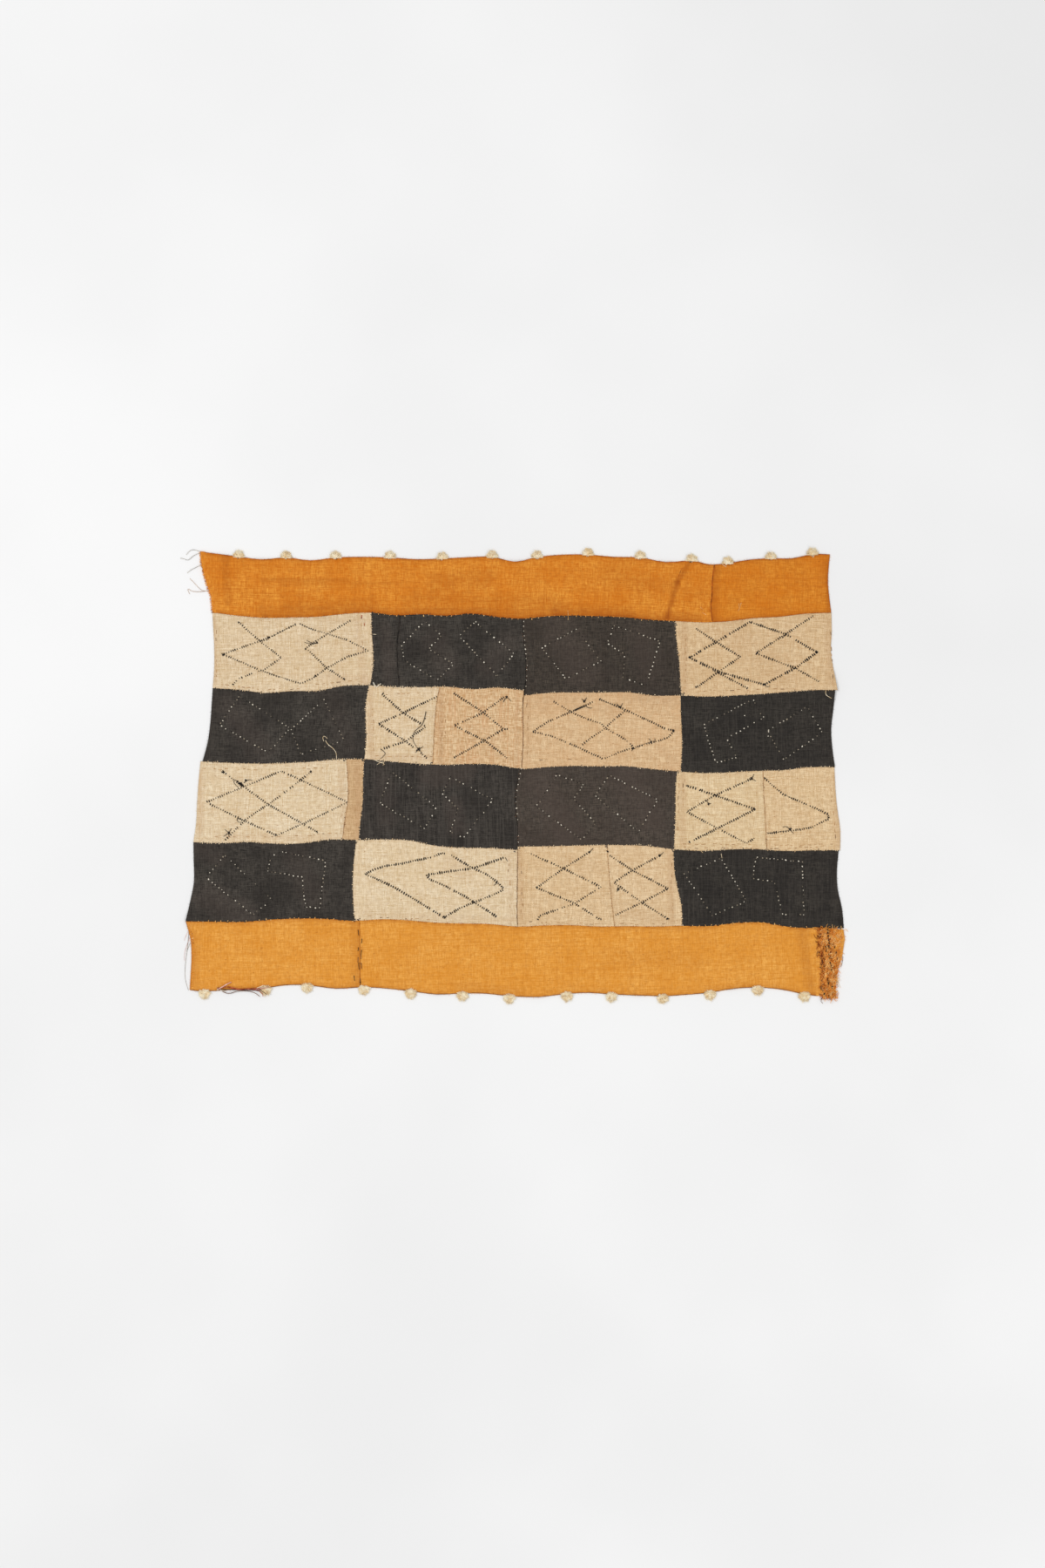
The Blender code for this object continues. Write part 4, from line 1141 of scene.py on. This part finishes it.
seamLooks = {
    "teeth": seamLook("clothThread", 2.5, 1.5, 1.2, 0.24, 0.16, 0.22),
    "bites": seamLook("blackThread", 4.0, 1.6, 0.8, 0.3, -0.4, 0.45),
    "amber": seamLook("hayFibre", 6.5, 1.9, 1.1, 0.3, 0.25, 0.12, slot=orange),
    # dashes: black thread along the seams with the borders, painted shade in the seam
    "dashes": seamLook("blackThread", 6.5, 4.6, 0.9, 0.26, 0.1, 0.2, along=True),
    "notches": seamLook("sootThread", 3.4, 1.5, 1.3, 0.22, 0.12, 0.15),
    "rust": seamLook("rustThread", 2.6, 1.4, 0.7, 0.28, 0.1, 0.35, slot=orange),
    "pips": seamLook("whiteThread", 6.3, 1.7, 1.5, 0.6, 0.75, 0.06),
    "umber": seamLook("brownThread", 2.8, 1.7, 0.8, 0.3, 0.0, 0.3),
}
seamMates = {"teeth": [("bites", 1)], "amber": [("notches", -1), ("dashes", 1)], "pips": [("umber", 1)]}
outward = {"top": Vector((0, 1)), "bottom": Vector((0, -1)), "left": Vector((-1, 0)), "right": Vector((1, 0))}
sewn = {look: bmesh.new() for look in seamLooks}


def sewSeam(name, side, look, sign):
    luck = random.Random(name + side + look)
    how = seamLooks[look]
    for spot, heading in walkLine(laidSides[name][side], how["pitch"] * step, luck, 0.25):
        if luck.random() < how["left"]:
            continue
        way = outward[side] * sign
        turn = Matrix.Rotation(luck.gauss(0, 0.1 if how["along"] else 0.34), 2) @ (heading if how["along"] else way)
        place = spot + way * (how["shift"] + luck.gauss(0, 0.35)) * step
        long = how["length"] * luck.choice((0.5, 0.7, 0.9, 1.1, 1.4)) * step
        wide = how["width"] * luck.uniform(0.6, 1.15) * step
        stitch(sewn[look], place, turn, long, wide, how["height"] * mm, 0.02 * mm)


def isDark(piece):
    return piece["slot"] == dark


def sewSide(piece, side, look):
    # the ends show outside the piece, or on it where it is dark and its neighbour is not
    sign = -1 if isDark(piece) and look != "pips" else 1
    sewSeam(piece["solid"], side, look, sign)
    for mate, way in seamMates.get(look, []):
        sewSeam(piece["solid"], side, mate, way * sign)


def sewSeams():
    for piece in patchwork[0]:
        sewSide(piece, "top", "amber" if isDark(piece) else "rust")
    for row in patchwork[:-1]:
        for piece in row:
            sewSide(piece, "bottom", "teeth")
    for piece in patchwork[-1]:
        sewSide(piece, "bottom", "amber" if isDark(piece) else "rust")
    for row in patchwork:
        for piece, after in zip(row, row[1:]):
            if piece is not stripOneB:  # this one is sewn with the thread below alone
                pair = {isDark(piece), isDark(after)}
                sewSide(piece, "right", "teeth" if len(pair) == 2 else "pips" if isDark(piece) else "umber")
    for look, how in seamLooks.items():
        finishStitches(sewn[look], "seam_" + look, how["thread"], how["slot"])


# the sewing thread that lies in a seam or along an outer edge: its radius in mm; the thin dark threads along the
# borders' top and bottom edges are painted shade under the rim
seamThreads = {
    "right": [
        ("panel_2b_light", "hemThread", 0.5), ("panel_2b_tan", "brownThread", 0.42), ("panel_3a", "hemThread", 0.4),
        ("panel_3d_left", "hemThread", 0.45), ("panel_4b", "brownThread", 0.45), ("panel_4c_left", "hemThread", 0.45),
        ("strip_1b", "blackThread", 0.95), ("panel_1b", "blackThread", 0.55), ("panel_3b", "blackThread", 0.55),
        ("border_top_left", "rustThread", 0.6),
    ],
    "top": [("border_top_left", "rustThread", 0.3), ("border_top_right", "rustThread", 0.3)],
    "bottom": [("border_bottom_left", "brownThread", 0.34), ("border_bottom_right", "brownThread", 0.34)],
}


def layInSeam():
    runs = []
    for side, threads in seamThreads.items():
        inside = outward[side] * (0 if side == "right" else 0.5) * mm
        for name, thread, radius in threads:
            luck = random.Random(name + side + " thread")
            points = []
            for spot, heading in walkLine(laidSides[name][side], 4 * mm, luck):
                points.append(onCloth(spot - inside + jitter(luck, 0.25) * mm, 0.1 * mm)[0])
            runs.append((thread, radius, points, 0.0))
    spinThreads("seam_threads", runs, frayed, 1, 2)


cutEnds = {"pitch": 3.2, "uneven": 0.6, "reach": 1.5, "reaches": (0.3, 0.5, 0.8, 1.0, 1.6), "radius": 0.16}


def fuzzEdges():
    # short cut ends along the free edges
    edges = [(row[end], side) for end, side in ((0, "left"), (-1, "right")) for row in patchwork]
    edges += [(topBorderLeft, "top"), (topBorderRight, "top"), (topBorderRight, "right")]
    edges += [(bottomBorderLeft, "bottom"), (bottomBorderRight, "bottom"), (bottomBorderLeft, "left")]
    threads = {dark: "sootThread", orange: "orangeThread"}
    runs = []
    for piece, side in edges:
        name = piece["solid"]
        luck = random.Random(name + side + " fuzz")
        for spot, heading in walkLine(laidSides[name][side], cutEnds["pitch"] * mm, luck, cutEnds["uneven"]):
            away = Matrix.Rotation(luck.gauss(0, 0.6), 2) @ outward[side]
            reach = cutEnds["reach"] * luck.choice(cutEnds["reaches"]) * mm
            start, end = spot - outward[side] * 0.8 * mm, spot + away * reach
            tip = Vector((*end, luck.uniform(0.3, 1.5) * mm))
            points = [Vector((*start, 1.2 * mm)), Vector((*spot, 1.3 * mm)), tip]
            thread = threads.get(piece["slot"], "creamThread")
            runs.append((thread, cutEnds["radius"] * luck.uniform(0.7, 1.3), points, 0.5))
    spinThreads("cut_ends", runs, frayed, 0, 2)


cornerTacks = [
    (428, 704), (496, 876), (784, 796), (408, 1056), (772, 976), (596, 972), (596, 884), (460, 788), (424, 788),
    (776, 716), (412, 1056), (592, 976), (396, 872), (416, 872), (778, 886), (696, 972), (408, 968),
]
slit = {"place": (602.6, 797), "width": 11, "length": 34, "thickness": 0.5, "height": 0.35}


def tackCorners():
    tacks = bmesh.new()
    luck = random.Random("tacks")
    for px, py in cornerTacks:
        for index in range(4):
            spot = spotAt(px + luck.uniform(-1.6, 1.6), py + luck.uniform(-1.6, 1.6))
            turn = luck.uniform(0, math.pi)
            heading = Vector((math.cos(turn), math.sin(turn)))
            stitch(tacks, spot, heading, 2.6 * step, 1.4 * step, 0.3 * mm, -0.1 * mm)
    finishStitches(tacks, "corner_tacks", "sootThread")


def backSlit():
    # the turned edge of the panel above, seen through the slit between two dark panels
    backing = bmesh.new()
    bmesh.ops.create_cube(backing, size=1)
    size = (slit["width"] * step, slit["length"] * step, slit["thickness"] * mm)
    bmesh.ops.scale(backing, vec=size, verts=backing.verts[:])
    bmesh.ops.translate(backing, vec=(*spotAt(*slit["place"]), slit["height"] * mm), verts=backing.verts[:])
    finishStitches(backing, "seam_backing", "sootThread")


sewSeams()
layInSeam()
fuzzEdges()
tackCorners()
backSlit()
print("sewed the seams")

# pompoms: fibres tied to the edge, a half fan along the top and a rosette along the bottom; a radius and a height
# are in mm, and a fan is in half turns
pompom = {
    "fibres": 440, "radius": 0.2, "core": 0.72, "height": 5.0, "spread": 0.42, "fan": (-0.06, 1.06),
    "rosette": (-0.5, 1.5),
    "ties": 7, "tieThreads": ("creamThread", "whiteThread", "creamThread", "brownThread"),
}


def fanFibres(luck, root, half, reach, out, number):
    runs = []
    for index in range(pompom["fibres"]):
        turn = luck.uniform(*pompom["fan" if out > 0 else "rosette"]) * math.pi
        inward = math.sin(turn) < 0  # these lie back over the border
        far = luck.uniform(0.64, 0.95 if out > 0 else 1.0) * (1 + 0.06 * math.sin(turn * 7 + number))
        across = math.cos(turn) * half * far
        outwards = math.sin(turn) * out * far * (0.55 * reach if inward else reach)
        tall = luck.uniform(0.0, 1.0)
        floor = 2.2 if inward else 0.4
        top = (floor + 1.0 + (pompom["height"] - floor - 1.4) * tall) * mm
        share = pompom["spread"] * far * luck.random()
        sway = across * share + luck.gauss(0, 0.9) * mm
        back = outwards * share - out * luck.uniform(-0.6, 1.4) * mm
        base = root + Vector((sway, back, (1.8 + luck.uniform(0, 1.8)) * mm))
        bowed = root + Vector((across * (0.5 + 0.5 * share), outwards * (0.5 + 0.5 * share), top + 0.5 * mm * tall))
        end = root + Vector((across, outwards, max(floor * mm, top * luck.uniform(0.15, 0.8))))
        bend = jitter(luck, 0.8).to_3d() * mm
        thread = "clothThread" if luck.random() < 0.1 else "tuftFibre"
        runs.append((thread, pompom["radius"] * luck.uniform(0.8, 1.2), [base, bowed + bend, end + bend * 0.6], 0.4))
    return runs


def tieFibres(luck, root, out):
    back = -out * (2.6 if out > 0 else 3.4) * mm
    runs = []
    for index in range(pompom["ties"]):
        sway = luck.uniform(-2.4, 2.4) * mm
        first = root + Vector((sway - luck.uniform(0.4, 1.6) * mm, back * luck.uniform(0.7, 1.2), 2.3 * mm))
        second = root + Vector((sway, back * 0.3, 3.4 * mm))
        third = root + Vector((sway + luck.uniform(0.4, 1.6) * mm, out * luck.uniform(0.6, 2.2) * mm, 2.9 * mm))
        runs.append((luck.choice(pompom["tieThreads"]), 0.45, [first, second, third], 0.1))
    return runs


def makeHeart(name, root, half, reach, out, number):
    # a small rough body under the fibres, cut off where they are tied
    core = bmesh.new()
    bmesh.ops.create_uvsphere(core, u_segments=20, v_segments=10, radius=1)
    wide = pompom["core"] * (0.8 if out > 0 else 1.15)
    bmesh.ops.scale(core, vec=(half * wide, reach * wide * 0.8, 1.3 * mm), verts=core.verts[:])
    cut = core.verts[:] + core.edges[:] + core.faces[:]
    bmesh.ops.bisect_plane(core, geom=cut, dist=0.00001, plane_co=(0, 0, 0), plane_no=(0, -out, 0), clear_outer=True)
    bmesh.ops.holes_fill(core, edges=[edge for edge in core.edges if edge.is_boundary])
    for corner in core.verts:
        rough = 1 + 0.2 * noise.noise(corner.co * 900 + Vector((number * 3, 0, 0)))
        corner.co = corner.co * rough
        corner.co.z = max(0.2 * mm, corner.co.z + 1.4 * mm)
    bmesh.ops.translate(core, vec=root, verts=core.verts[:])
    for face in core.faces:
        face.smooth = True
    bmesh.ops.recalc_face_normals(core, faces=core.faces[:])
    setOut(name + "_heart", meshOf(name + "_heart", core), cream, paints["tuftFibre"])


def makePompom(number, where):
    name = "pompom_%s_%02d" % (where, number)
    luck = random.Random(name)
    low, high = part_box(name)
    out = 1 if where == "top" else -1
    reach, half = high.y - low.y, (high.x - low.x) / 2
    root = Vector(((low.x + high.x) / 2, low.y if out > 0 else high.y - 0.16 * reach, 0))
    runs = fanFibres(luck, root, half, reach, out, number) + tieFibres(luck, root, out)
    tuft = spinThreads(name + "_fibres", runs, cream, 0, 1)
    makeHeart(name, root, half, reach, out, number)
    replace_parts(tuft, name)


for number in range(1, 14):
    makePompom(number, "top")
    makePompom(number, "bottom")
print("tied the pompoms")

# the frayed ends, in pixels from top to bottom: the outlines of each mat and of the curls or thread ends on it; a
# radius is in mm, and the shaded bands are shares of the fringe's width
frayRight = {
    "matLeft": [(932, 1064), (932, 1085), (932.5, 1110), (933, 1142)],
    "left": [(937, 1065), (939, 1080), (941, 1095), (943.5, 1112), (944, 1126), (943, 1146)],
    "right": [(968.5, 1067), (970, 1078), (967, 1098), (961.5, 1113), (959.5, 1130), (959.5, 1146)],
    "loops": 2100, "radius": (0.22, 0.42), "sway": 0.05, "bands": ((-1.0, 0.2), (0.42, 0.53), (0.72, 0.81)),
    "shaded": ("rustThread", "rustThread", "rustThread", "orangeThread", "orangeThread", "brownThread"),
    "bright": ("orangeThread", "orangeThread", "orangeThread", "hayFibre"), "straw": ("hayFibre", "orangeThread"),
    "shadedHollows": [
        (949.8, 1067), (950, 1070.5), (950.3, 1074), (950.8, 1078), (951.4, 1082), (951.4, 1086), (947.6, 1087),
        (948.2, 1091), (956.2, 1083), (957.4, 1087), (951.6, 1096), (952, 1100), (953, 1105), (953.8, 1109),
        (954.4, 1113), (950, 1124), (951, 1129), (955, 1133), (946, 1141), (960, 1093),
    ],
    "topEnds": [
        [(956.6, 1067), (956, 1064), (955.2, 1061)], [(958.5, 1068), (958.6, 1065), (958.2, 1062.4)],
        [(958.8, 1067), (960.4, 1065), (962, 1062.8)],
    ],
    "sideEnds": [
        [(959.8, 1119), (962, 1126), (965, 1134)], [(960, 1122), (961, 1129), (962.6, 1133)],
        [(968, 1098), (967.4, 1106), (965.6, 1110)],
    ],
}
frayLeft = {
    "edge": [(230, 634), (231.2, 647), (234.4, 660), (238.4, 674), (242, 684), (243.8, 703)],
    "mat": [(230.4, 633), (231.6, 647), (234.8, 660), (238.8, 674), (242.4, 684), (244.2, 703.6)],
    "within": [(236, 633.6), (238, 647), (241, 660), (244.6, 674), (247, 684), (248.6, 704)],
    "ends": 90, "reach": (0.6, 0.8, 1.0, 1.2, 1.8),
    "threads": ("orangeThread", "orangeThread", "hayFibre", "rustThread"),
    "greyCurls": [
        [(232, 634), (229, 633), (222, 630.5), (217, 633), (214, 637)],
        [(232, 635), (229, 635), (222, 638), (216, 644), (211, 641), (207, 641)],
        [(232, 648), (230, 649), (224, 652), (218, 655), (215, 658)],
    ],
    "hemCurls": [
        [(242, 678), (240, 678), (232, 679), (223, 669), (218, 664)],
        [(242, 679), (240, 678), (230, 679.5), (220, 679), (217, 676), (215, 677), (218, 682)],
    ],
}


def alongPoints(line, share):
    at = share * (len(line) - 1)
    index = min(len(line) - 2, int(at))
    return Vector(line[index]).lerp(Vector(line[index + 1]), at - index)


def layMat(name, leftLine, rightLine, columns, top, cloth, outer):
    # the part of a border that has begun to unravel: a thin uneven mat in the border's own weave
    mat = bmesh.new()
    bmesh.ops.create_grid(mat, x_segments=columns, y_segments=40, size=0.5)
    for corner in mat.verts:
        down, across = 0.5 - corner.co.y, corner.co.x + 0.5
        ends = [spotAt(*alongPoints(line, down)) for line in (leftLine, rightLine)]
        levels = [hit[0].z for hit in (clothUnder(end) for end in ends) if hit[0]] or [top * mm]
        spot = ends[0].lerp(ends[1], across)
        rise = levels[0] + (0.16 + 0.1 * roughAt(spot, 300, 300, 2)) * mm
        under = clothUnder(spot)[0]
        tucked = max(0.0, 1 - (across if outer else 1 - across) * 5)  # the inner edge goes under the cloth's top
        if under:
            rise = max(rise * (1 - tucked), under.z + 0.12 * mm) - 0.4 * mm * tucked
        corner.co = Vector((spot.x, spot.y, rise))
    low, high = limits([corner.co for corner in mat.verts])
    flat = high - low
    area = min(sum(face.calc_area() for face in mat.faces), flat.x * flat.y)
    rim = bmesh.ops.extrude_face_region(mat, geom=mat.faces[:])
    for part in rim["geom"]:
        if isinstance(part, bmesh.types.BMVert):
            part.co.z = 0.1 * mm
    bmesh.ops.recalc_face_normals(mat, faces=mat.faces[:])
    threads = mat.loops.layers.uv.new("threads")
    for face in mat.faces:
        face.smooth = abs(face.normal.z) > 0.5
        for loop in face.loops:
            loop[threads].uv = loop.vert.co.to_2d()
    piece = setOut(name, meshOf(name, mat), orange, bpy.data.materials[cloth + "_raffia"])


def openCurl(luck, centre, across, height):
    bow = luck.uniform(1.0, 3.0) * step
    turn = luck.uniform(0, 2 * math.pi)
    sweep = luck.choice((-1, 1)) * luck.uniform(0.9, 2.6)
    points = []
    for part in range(5):
        at = turn + sweep * part / 4
        swing = Vector((math.cos(at) - math.cos(turn), 1.25 * (math.sin(at) - math.sin(turn))))
        spot = spotAt(*centre) + swing * bow + jitter(luck, 0.3) * step
        ground = max(onCloth(spot)[0].z, 1.7 * mm if across < 0.9 else 0.4 * mm)
        points.append(Vector((spot.x, spot.y, ground + (0.4 + height * (1 if part in (1, 2, 3) else 0.25)) * mm)))
    return points


def frayBottomRight():
    luck = random.Random("fringe right")
    runs = []
    for number in range(frayRight["loops"]):
        down, across = luck.random(), luck.random()
        centre = alongPoints(frayRight["left"], down).lerp(alongPoints(frayRight["right"], down), across)
        wave = across + frayRight["sway"] * math.sin(down * 9)
        shaded = any(first < wave < last for first, last in frayRight["bands"])
        thread = luck.choice(frayRight["shaded" if shaded else "bright"])
        straw = across > 0.62 and down < 0.42
        if straw:
            if luck.random() < 0.72:
                continue
            thread = luck.choice(frayRight["straw"])
        height = luck.uniform(0.2, 0.9) if shaded or straw else luck.uniform(0.6, 2.2)
        points = openCurl(luck, centre, across, height)
        runs.append((thread, luck.uniform(*frayRight["radius"]), points, 0.15))
    for px, py in frayRight["shadedHollows"]:  # painted shade: black threads in the dark places between the bands
        for index in range(2):
            above = (px + luck.gauss(0, 0.4), py - luck.uniform(0.8, 1.6))
            inside = (px + luck.gauss(0, 0.4), py)
            below = (px + luck.gauss(0, 0.4), py + luck.uniform(0.8, 1.6))
            runs.append(("blackThread", 0.5, atHeight([above, inside, below], 3.9), 0.3))
    for line in frayRight["topEnds"]:
        runs.append(("hayFibre", 0.42, overCloth(line, 1.0 * mm), 0.4))
    for line in frayRight["sideEnds"]:
        runs.append((luck.choice(("brownThread", "hayFibre")), 0.3, atHeight(line, 0.6), 0.4))
    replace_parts(spinThreads("fringe_bottom_right_threads", runs, frayed, 0, 2), "fringe_bottom_right")


def frayTopLeft():
    luck = random.Random("fringe left")
    runs = []
    for number in range(frayLeft["ends"]):
        spot = alongPoints(frayLeft["edge"], number / (frayLeft["ends"] - 1))
        reach = luck.choice(frayLeft["reach"])
        start = spot + Vector((2.2, luck.uniform(-0.5, 0.5)))
        bend = spot + Vector((-reach * 0.4, luck.gauss(0, 0.6)))
        end = spot + Vector((-reach, luck.gauss(0.4, 1.0)))
        points = atHeight([start], 1.3) + atHeight([bend], 1.1) + atHeight([end], 0.5)
        runs.append((luck.choice(frayLeft["threads"]), luck.uniform(0.3, 0.5), points, 0.4))
    for thread, curls in (("greyThread", frayLeft["greyCurls"]), ("hemThread", frayLeft["hemCurls"])):
        for curl in curls:
            runs.append((thread, 0.28, atHeight(curl[:2], 1.0) + atHeight(curl[2:], 0.7), 0.25))
    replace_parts(spinThreads("fringe_top_left_threads", runs, frayed, 1, 4), "fringe_top_left")


# the threads tied at the bottom border's left end, and how they rise over the pompom there, in pixels and mm
tangle = {
    "lines": [
        ("roseThread", 0.85, [(251, 1135.2), (256, 1132), (261, 1129.6), (265.6, 1127.2)]),
        (
            "redThread", 0.6,
            [
                (252, 1135), (256, 1133.5), (262.7, 1132.7), (270, 1134.2), (277.4, 1135.3), (284.7, 1134.4),
                (292, 1135), (298, 1134.2),
            ],
        ),
        (
            "redThread", 0.5,
            [(262, 1133.2), (270, 1135.2), (277, 1136), (285, 1135.6), (293, 1136), (303, 1134.5), (310, 1132.7)],
        ),
        (
            "brownThread", 0.5,
            [
                (254.6, 1137.1), (259, 1139.7), (264.9, 1140.2), (270.8, 1137.9), (277.4, 1136.8), (284.7, 1137.5),
                (291.3, 1139), (295.7, 1141.5), (298.6, 1143.7),
            ],
        ),
        ("blackThread", 0.42, [(254, 1136), (262, 1135.6), (272, 1136.6), (284, 1137), (293, 1136.6), (299, 1137.6)]),
        ("redThread", 0.55, [(292, 1135.4), (297, 1136.6), (300, 1138.6), (302.3, 1141.5), (302.4, 1144)]),
        ("creamThread", 0.6, [(295.7, 1134.2), (299, 1132.6), (302.3, 1130.4)]),
        ("roseThread", 0.5, [(296, 1135), (302, 1134.4), (308, 1133)]),
        ("brownThread", 0.45, [(298, 1136), (303, 1138), (306.5, 1141.6)]),
        ("whiteThread", 0.5, [(252, 1135), (255, 1137.4), (260, 1137.4)]),
    ],
    "tuft": (306, 1138), "tuftRadius": 11, "rise": 4.4, "knot": (251.6, 1135.2),
}


def tieTangle():
    luck = random.Random("tangle")
    runs = []
    for thread, radius, line in tangle["lines"]:
        points = overCloth(line, (1.0 + radius) * mm, luck, 0.4)
        for point in points:
            away = (point.xy - spotAt(*tangle["tuft"])).length / (tangle["tuftRadius"] * step)
            point.z += tangle["rise"] * mm * (1 - min(1.0, away))
        runs.append((thread, radius, points, 0.2))
    px, py = tangle["knot"]
    for index in range(5):
        spots = [(px + luck.uniform(-1.8, 1.8), py + luck.uniform(-1.6, 1.6)) for part in range(4)]
        thread = luck.choice(("whiteThread", "redThread", "blackThread"))
        runs.append((thread, 0.55, overCloth(spots, luck.uniform(0.8, 2.0) * mm), 0.0))
    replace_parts(spinThreads("thread_tangle_threads", runs, frayed, 2, 5), "thread_tangle")


# what hangs from the borders, in pixels: dashes by one upright seam, each with its place, first and last row; loose
# threads with a radius in mm; the bottom border's left end with its cut ends, the first of them rust; and pale ends
borderThreads = {
    "dashes": [
        (411.3, 1067.5, 1074), (415.5, 1077.5, 1083), (411.5, 1087.5, 1091.5), (415.3, 1090.5, 1096),
        (414.4, 1096, 1101), (411.3, 1098.5, 1105), (412.2, 1105, 1113), (414.6, 1105, 1112), (406.7, 1120, 1126),
        (413.6, 1123, 1128), (414.4, 1127, 1134),
    ],
    "loose": [
        (
            "greyThread", 0.26,
            [(217, 1068), (216, 1084), (213.6, 1100), (212.2, 1115), (213.2, 1128), (216.4, 1136.6)],
        ),
        ("roseThread", 0.24, [(217.6, 1066.6), (215, 1071), (212.4, 1077), (211.6, 1080)]),
        ("roseThread", 0.24, [(218.4, 1075), (215.4, 1083), (212.6, 1091), (211.6, 1099), (212, 1103)]),
        ("greyThread", 0.24, [(218.6, 1082), (216.4, 1088), (214.4, 1092)]),
    ],
    "leftEnd": [(215.2, 1060), (216.4, 1066), (219.4, 1073), (220.6, 1084), (220.8, 1108), (219.6, 1136)],
    "cutEnds": 60, "rustEnds": 34,
    "hay": [
        [(652, 701), (652.5, 706), (652.4, 712)], [(804, 697), (808, 700.4)], [(806, 703), (811, 706)],
        [(848.6, 693), (848, 697.4)], [(851, 692), (850, 696), (847.6, 701.6)],
    ],
    "pale": [
        [(880, 641), (885, 640.6), (890, 641.4)], [(828, 647), (831, 649.4), (834, 651)],
        [(933, 640), (937, 636), (940, 633)], [(805, 977), (807, 979)], [(828, 980), (829, 985)],
        [(428.6, 728.2), (432.2, 728.4)],
    ],
}


def tieBorderStitches():
    luck = random.Random("border stitches")
    runs = []
    for px, first, last in borderThreads["dashes"]:
        halfway = (px + luck.uniform(-0.8, 0.8), (first + last) / 2)
        points = overCloth([(px, first), halfway, (px + luck.uniform(-0.9, 0.9), last)], 0.4 * mm)
        runs.append((luck.choice(("blackThread", "blackThread", "brownThread")), 0.5, points, 0.3))
    for thread, radius, line in borderThreads["loose"]:
        runs.append((thread, radius, atHeight(line, 0.5), 0.3))
    for number in range(borderThreads["cutEnds"]):
        spot = alongPoints(borderThreads["leftEnd"], number / (borderThreads["cutEnds"] - 1))
        thick = number < borderThreads["rustEnds"]
        start = spot + Vector((luck.uniform(1.0, 3.0), luck.gauss(0, 0.8)))
        end = spot + Vector((-luck.uniform(0.2, 1.4 if thick else 0.8), luck.gauss(0, 1.0)))
        thread = luck.choice(("rustThread", "orangeThread", "hayFibre")) if thick else "orangeThread"
        points = [onCloth(spotAt(*start), 0.1 * mm)[0], *atHeight([spot], 1.3), *atHeight([end], 0.6)]
        runs.append((thread, luck.uniform(0.26, 0.4), points, 0.3))
    runs += [("hayFibre", 0.3, overCloth(line, 0.5 * mm), 0.2) for line in borderThreads["hay"]]
    runs += [("creamThread", 0.4, overCloth(line, 0.5 * mm), 0.2) for line in borderThreads["pale"]]
    spinThreads("border_threads", runs, frayed, 1, 4)


layMat("fringe_bottom_right_mat", frayRight["matLeft"], frayRight["right"], 14, 1.5, "border_bottom_right", True)
layMat("fringe_top_left_mat", frayLeft["mat"], frayLeft["within"], 6, 1.7, "border_top_left", False)
frayBottomRight()
frayTopLeft()
tieTangle()
tieBorderStitches()
print("frayed the ends")

# the floor's two shades, and the lamps: place, size and power
studio = {
    "floor": ((236, 236, 236), (242, 242, 242)), "floorSize": 6.0, "world": ((244, 244, 244), 0.75),
    "lamps": {"key": ((-2.4, 1.3, 3.4), 1.9, 57.0), "fill": ((2.4, -2.4, 3.2), 2.4, 45.0)},
    "eyeOver": (600, 900), "eyeHeight": 3.0, "lens": 48, "sensor": 36, "reach": 50,
}


def layFloor():
    ground = bmesh.new()
    bmesh.ops.create_grid(ground, x_segments=2, y_segments=2, size=studio["floorSize"])
    bmesh.ops.translate(ground, vec=(0, 0, -0.2 * mm), verts=ground.verts[:])
    mesh = meshOf("studio_floor", ground)
    floor = bpy.data.objects.new("studio_floor", mesh)
    bpy.context.scene.collection.objects.link(floor)
    paint, tree, shader = startPaint("studioFloor")
    where = tree.nodes.new("ShaderNodeTexCoord")
    cloud = spread(tree, grain(tree, where.outputs["Object"], 1.6, 3.0), 0.3, 0.7)
    body = blendShades(tree, cloud, *[shade(*part) for part in studio["floor"]])
    feedAll(tree, shader, {"Base Color": body, "Roughness": 0.95, "Specular IOR Level": 0.1})
    mesh.materials.append(paint)


def lightCloth():
    world = bpy.data.worlds.new("studio")
    world.use_nodes = True
    colour, strength = studio["world"]
    feedAll(world.node_tree, world.node_tree.nodes["Background"], {"Color": shade(*colour), "Strength": strength})
    bpy.context.scene.world = world
    for name, (place, size, power) in studio["lamps"].items():
        lamp = bpy.data.lights.new(name, "AREA")
        lamp.shape = "DISK"
        lamp.size = size
        lamp.energy = power
        holder = bpy.data.objects.new(name, lamp)
        holder.location = place
        holder.rotation_euler = (-Vector(place)).to_track_quat("-Z", "Y").to_euler()
        holder.visible_camera = False
        bpy.context.scene.collection.objects.link(holder)


def setCamera():
    lens = bpy.data.cameras.new("overhead")
    lens.lens = studio["lens"]
    lens.sensor_width = studio["sensor"]
    lens.clip_end = studio["reach"]
    eye = bpy.data.objects.new("overhead", lens)
    eye.location = (*spotAt(*studio["eyeOver"]), studio["eyeHeight"])
    bpy.context.scene.collection.objects.link(eye)
    bpy.context.scene.camera = eye


layFloor()
lightCloth()
setCamera()
bpy.context.scene.view_settings.view_transform = "Standard"
bpy.context.view_layer.update()
print("finishing")
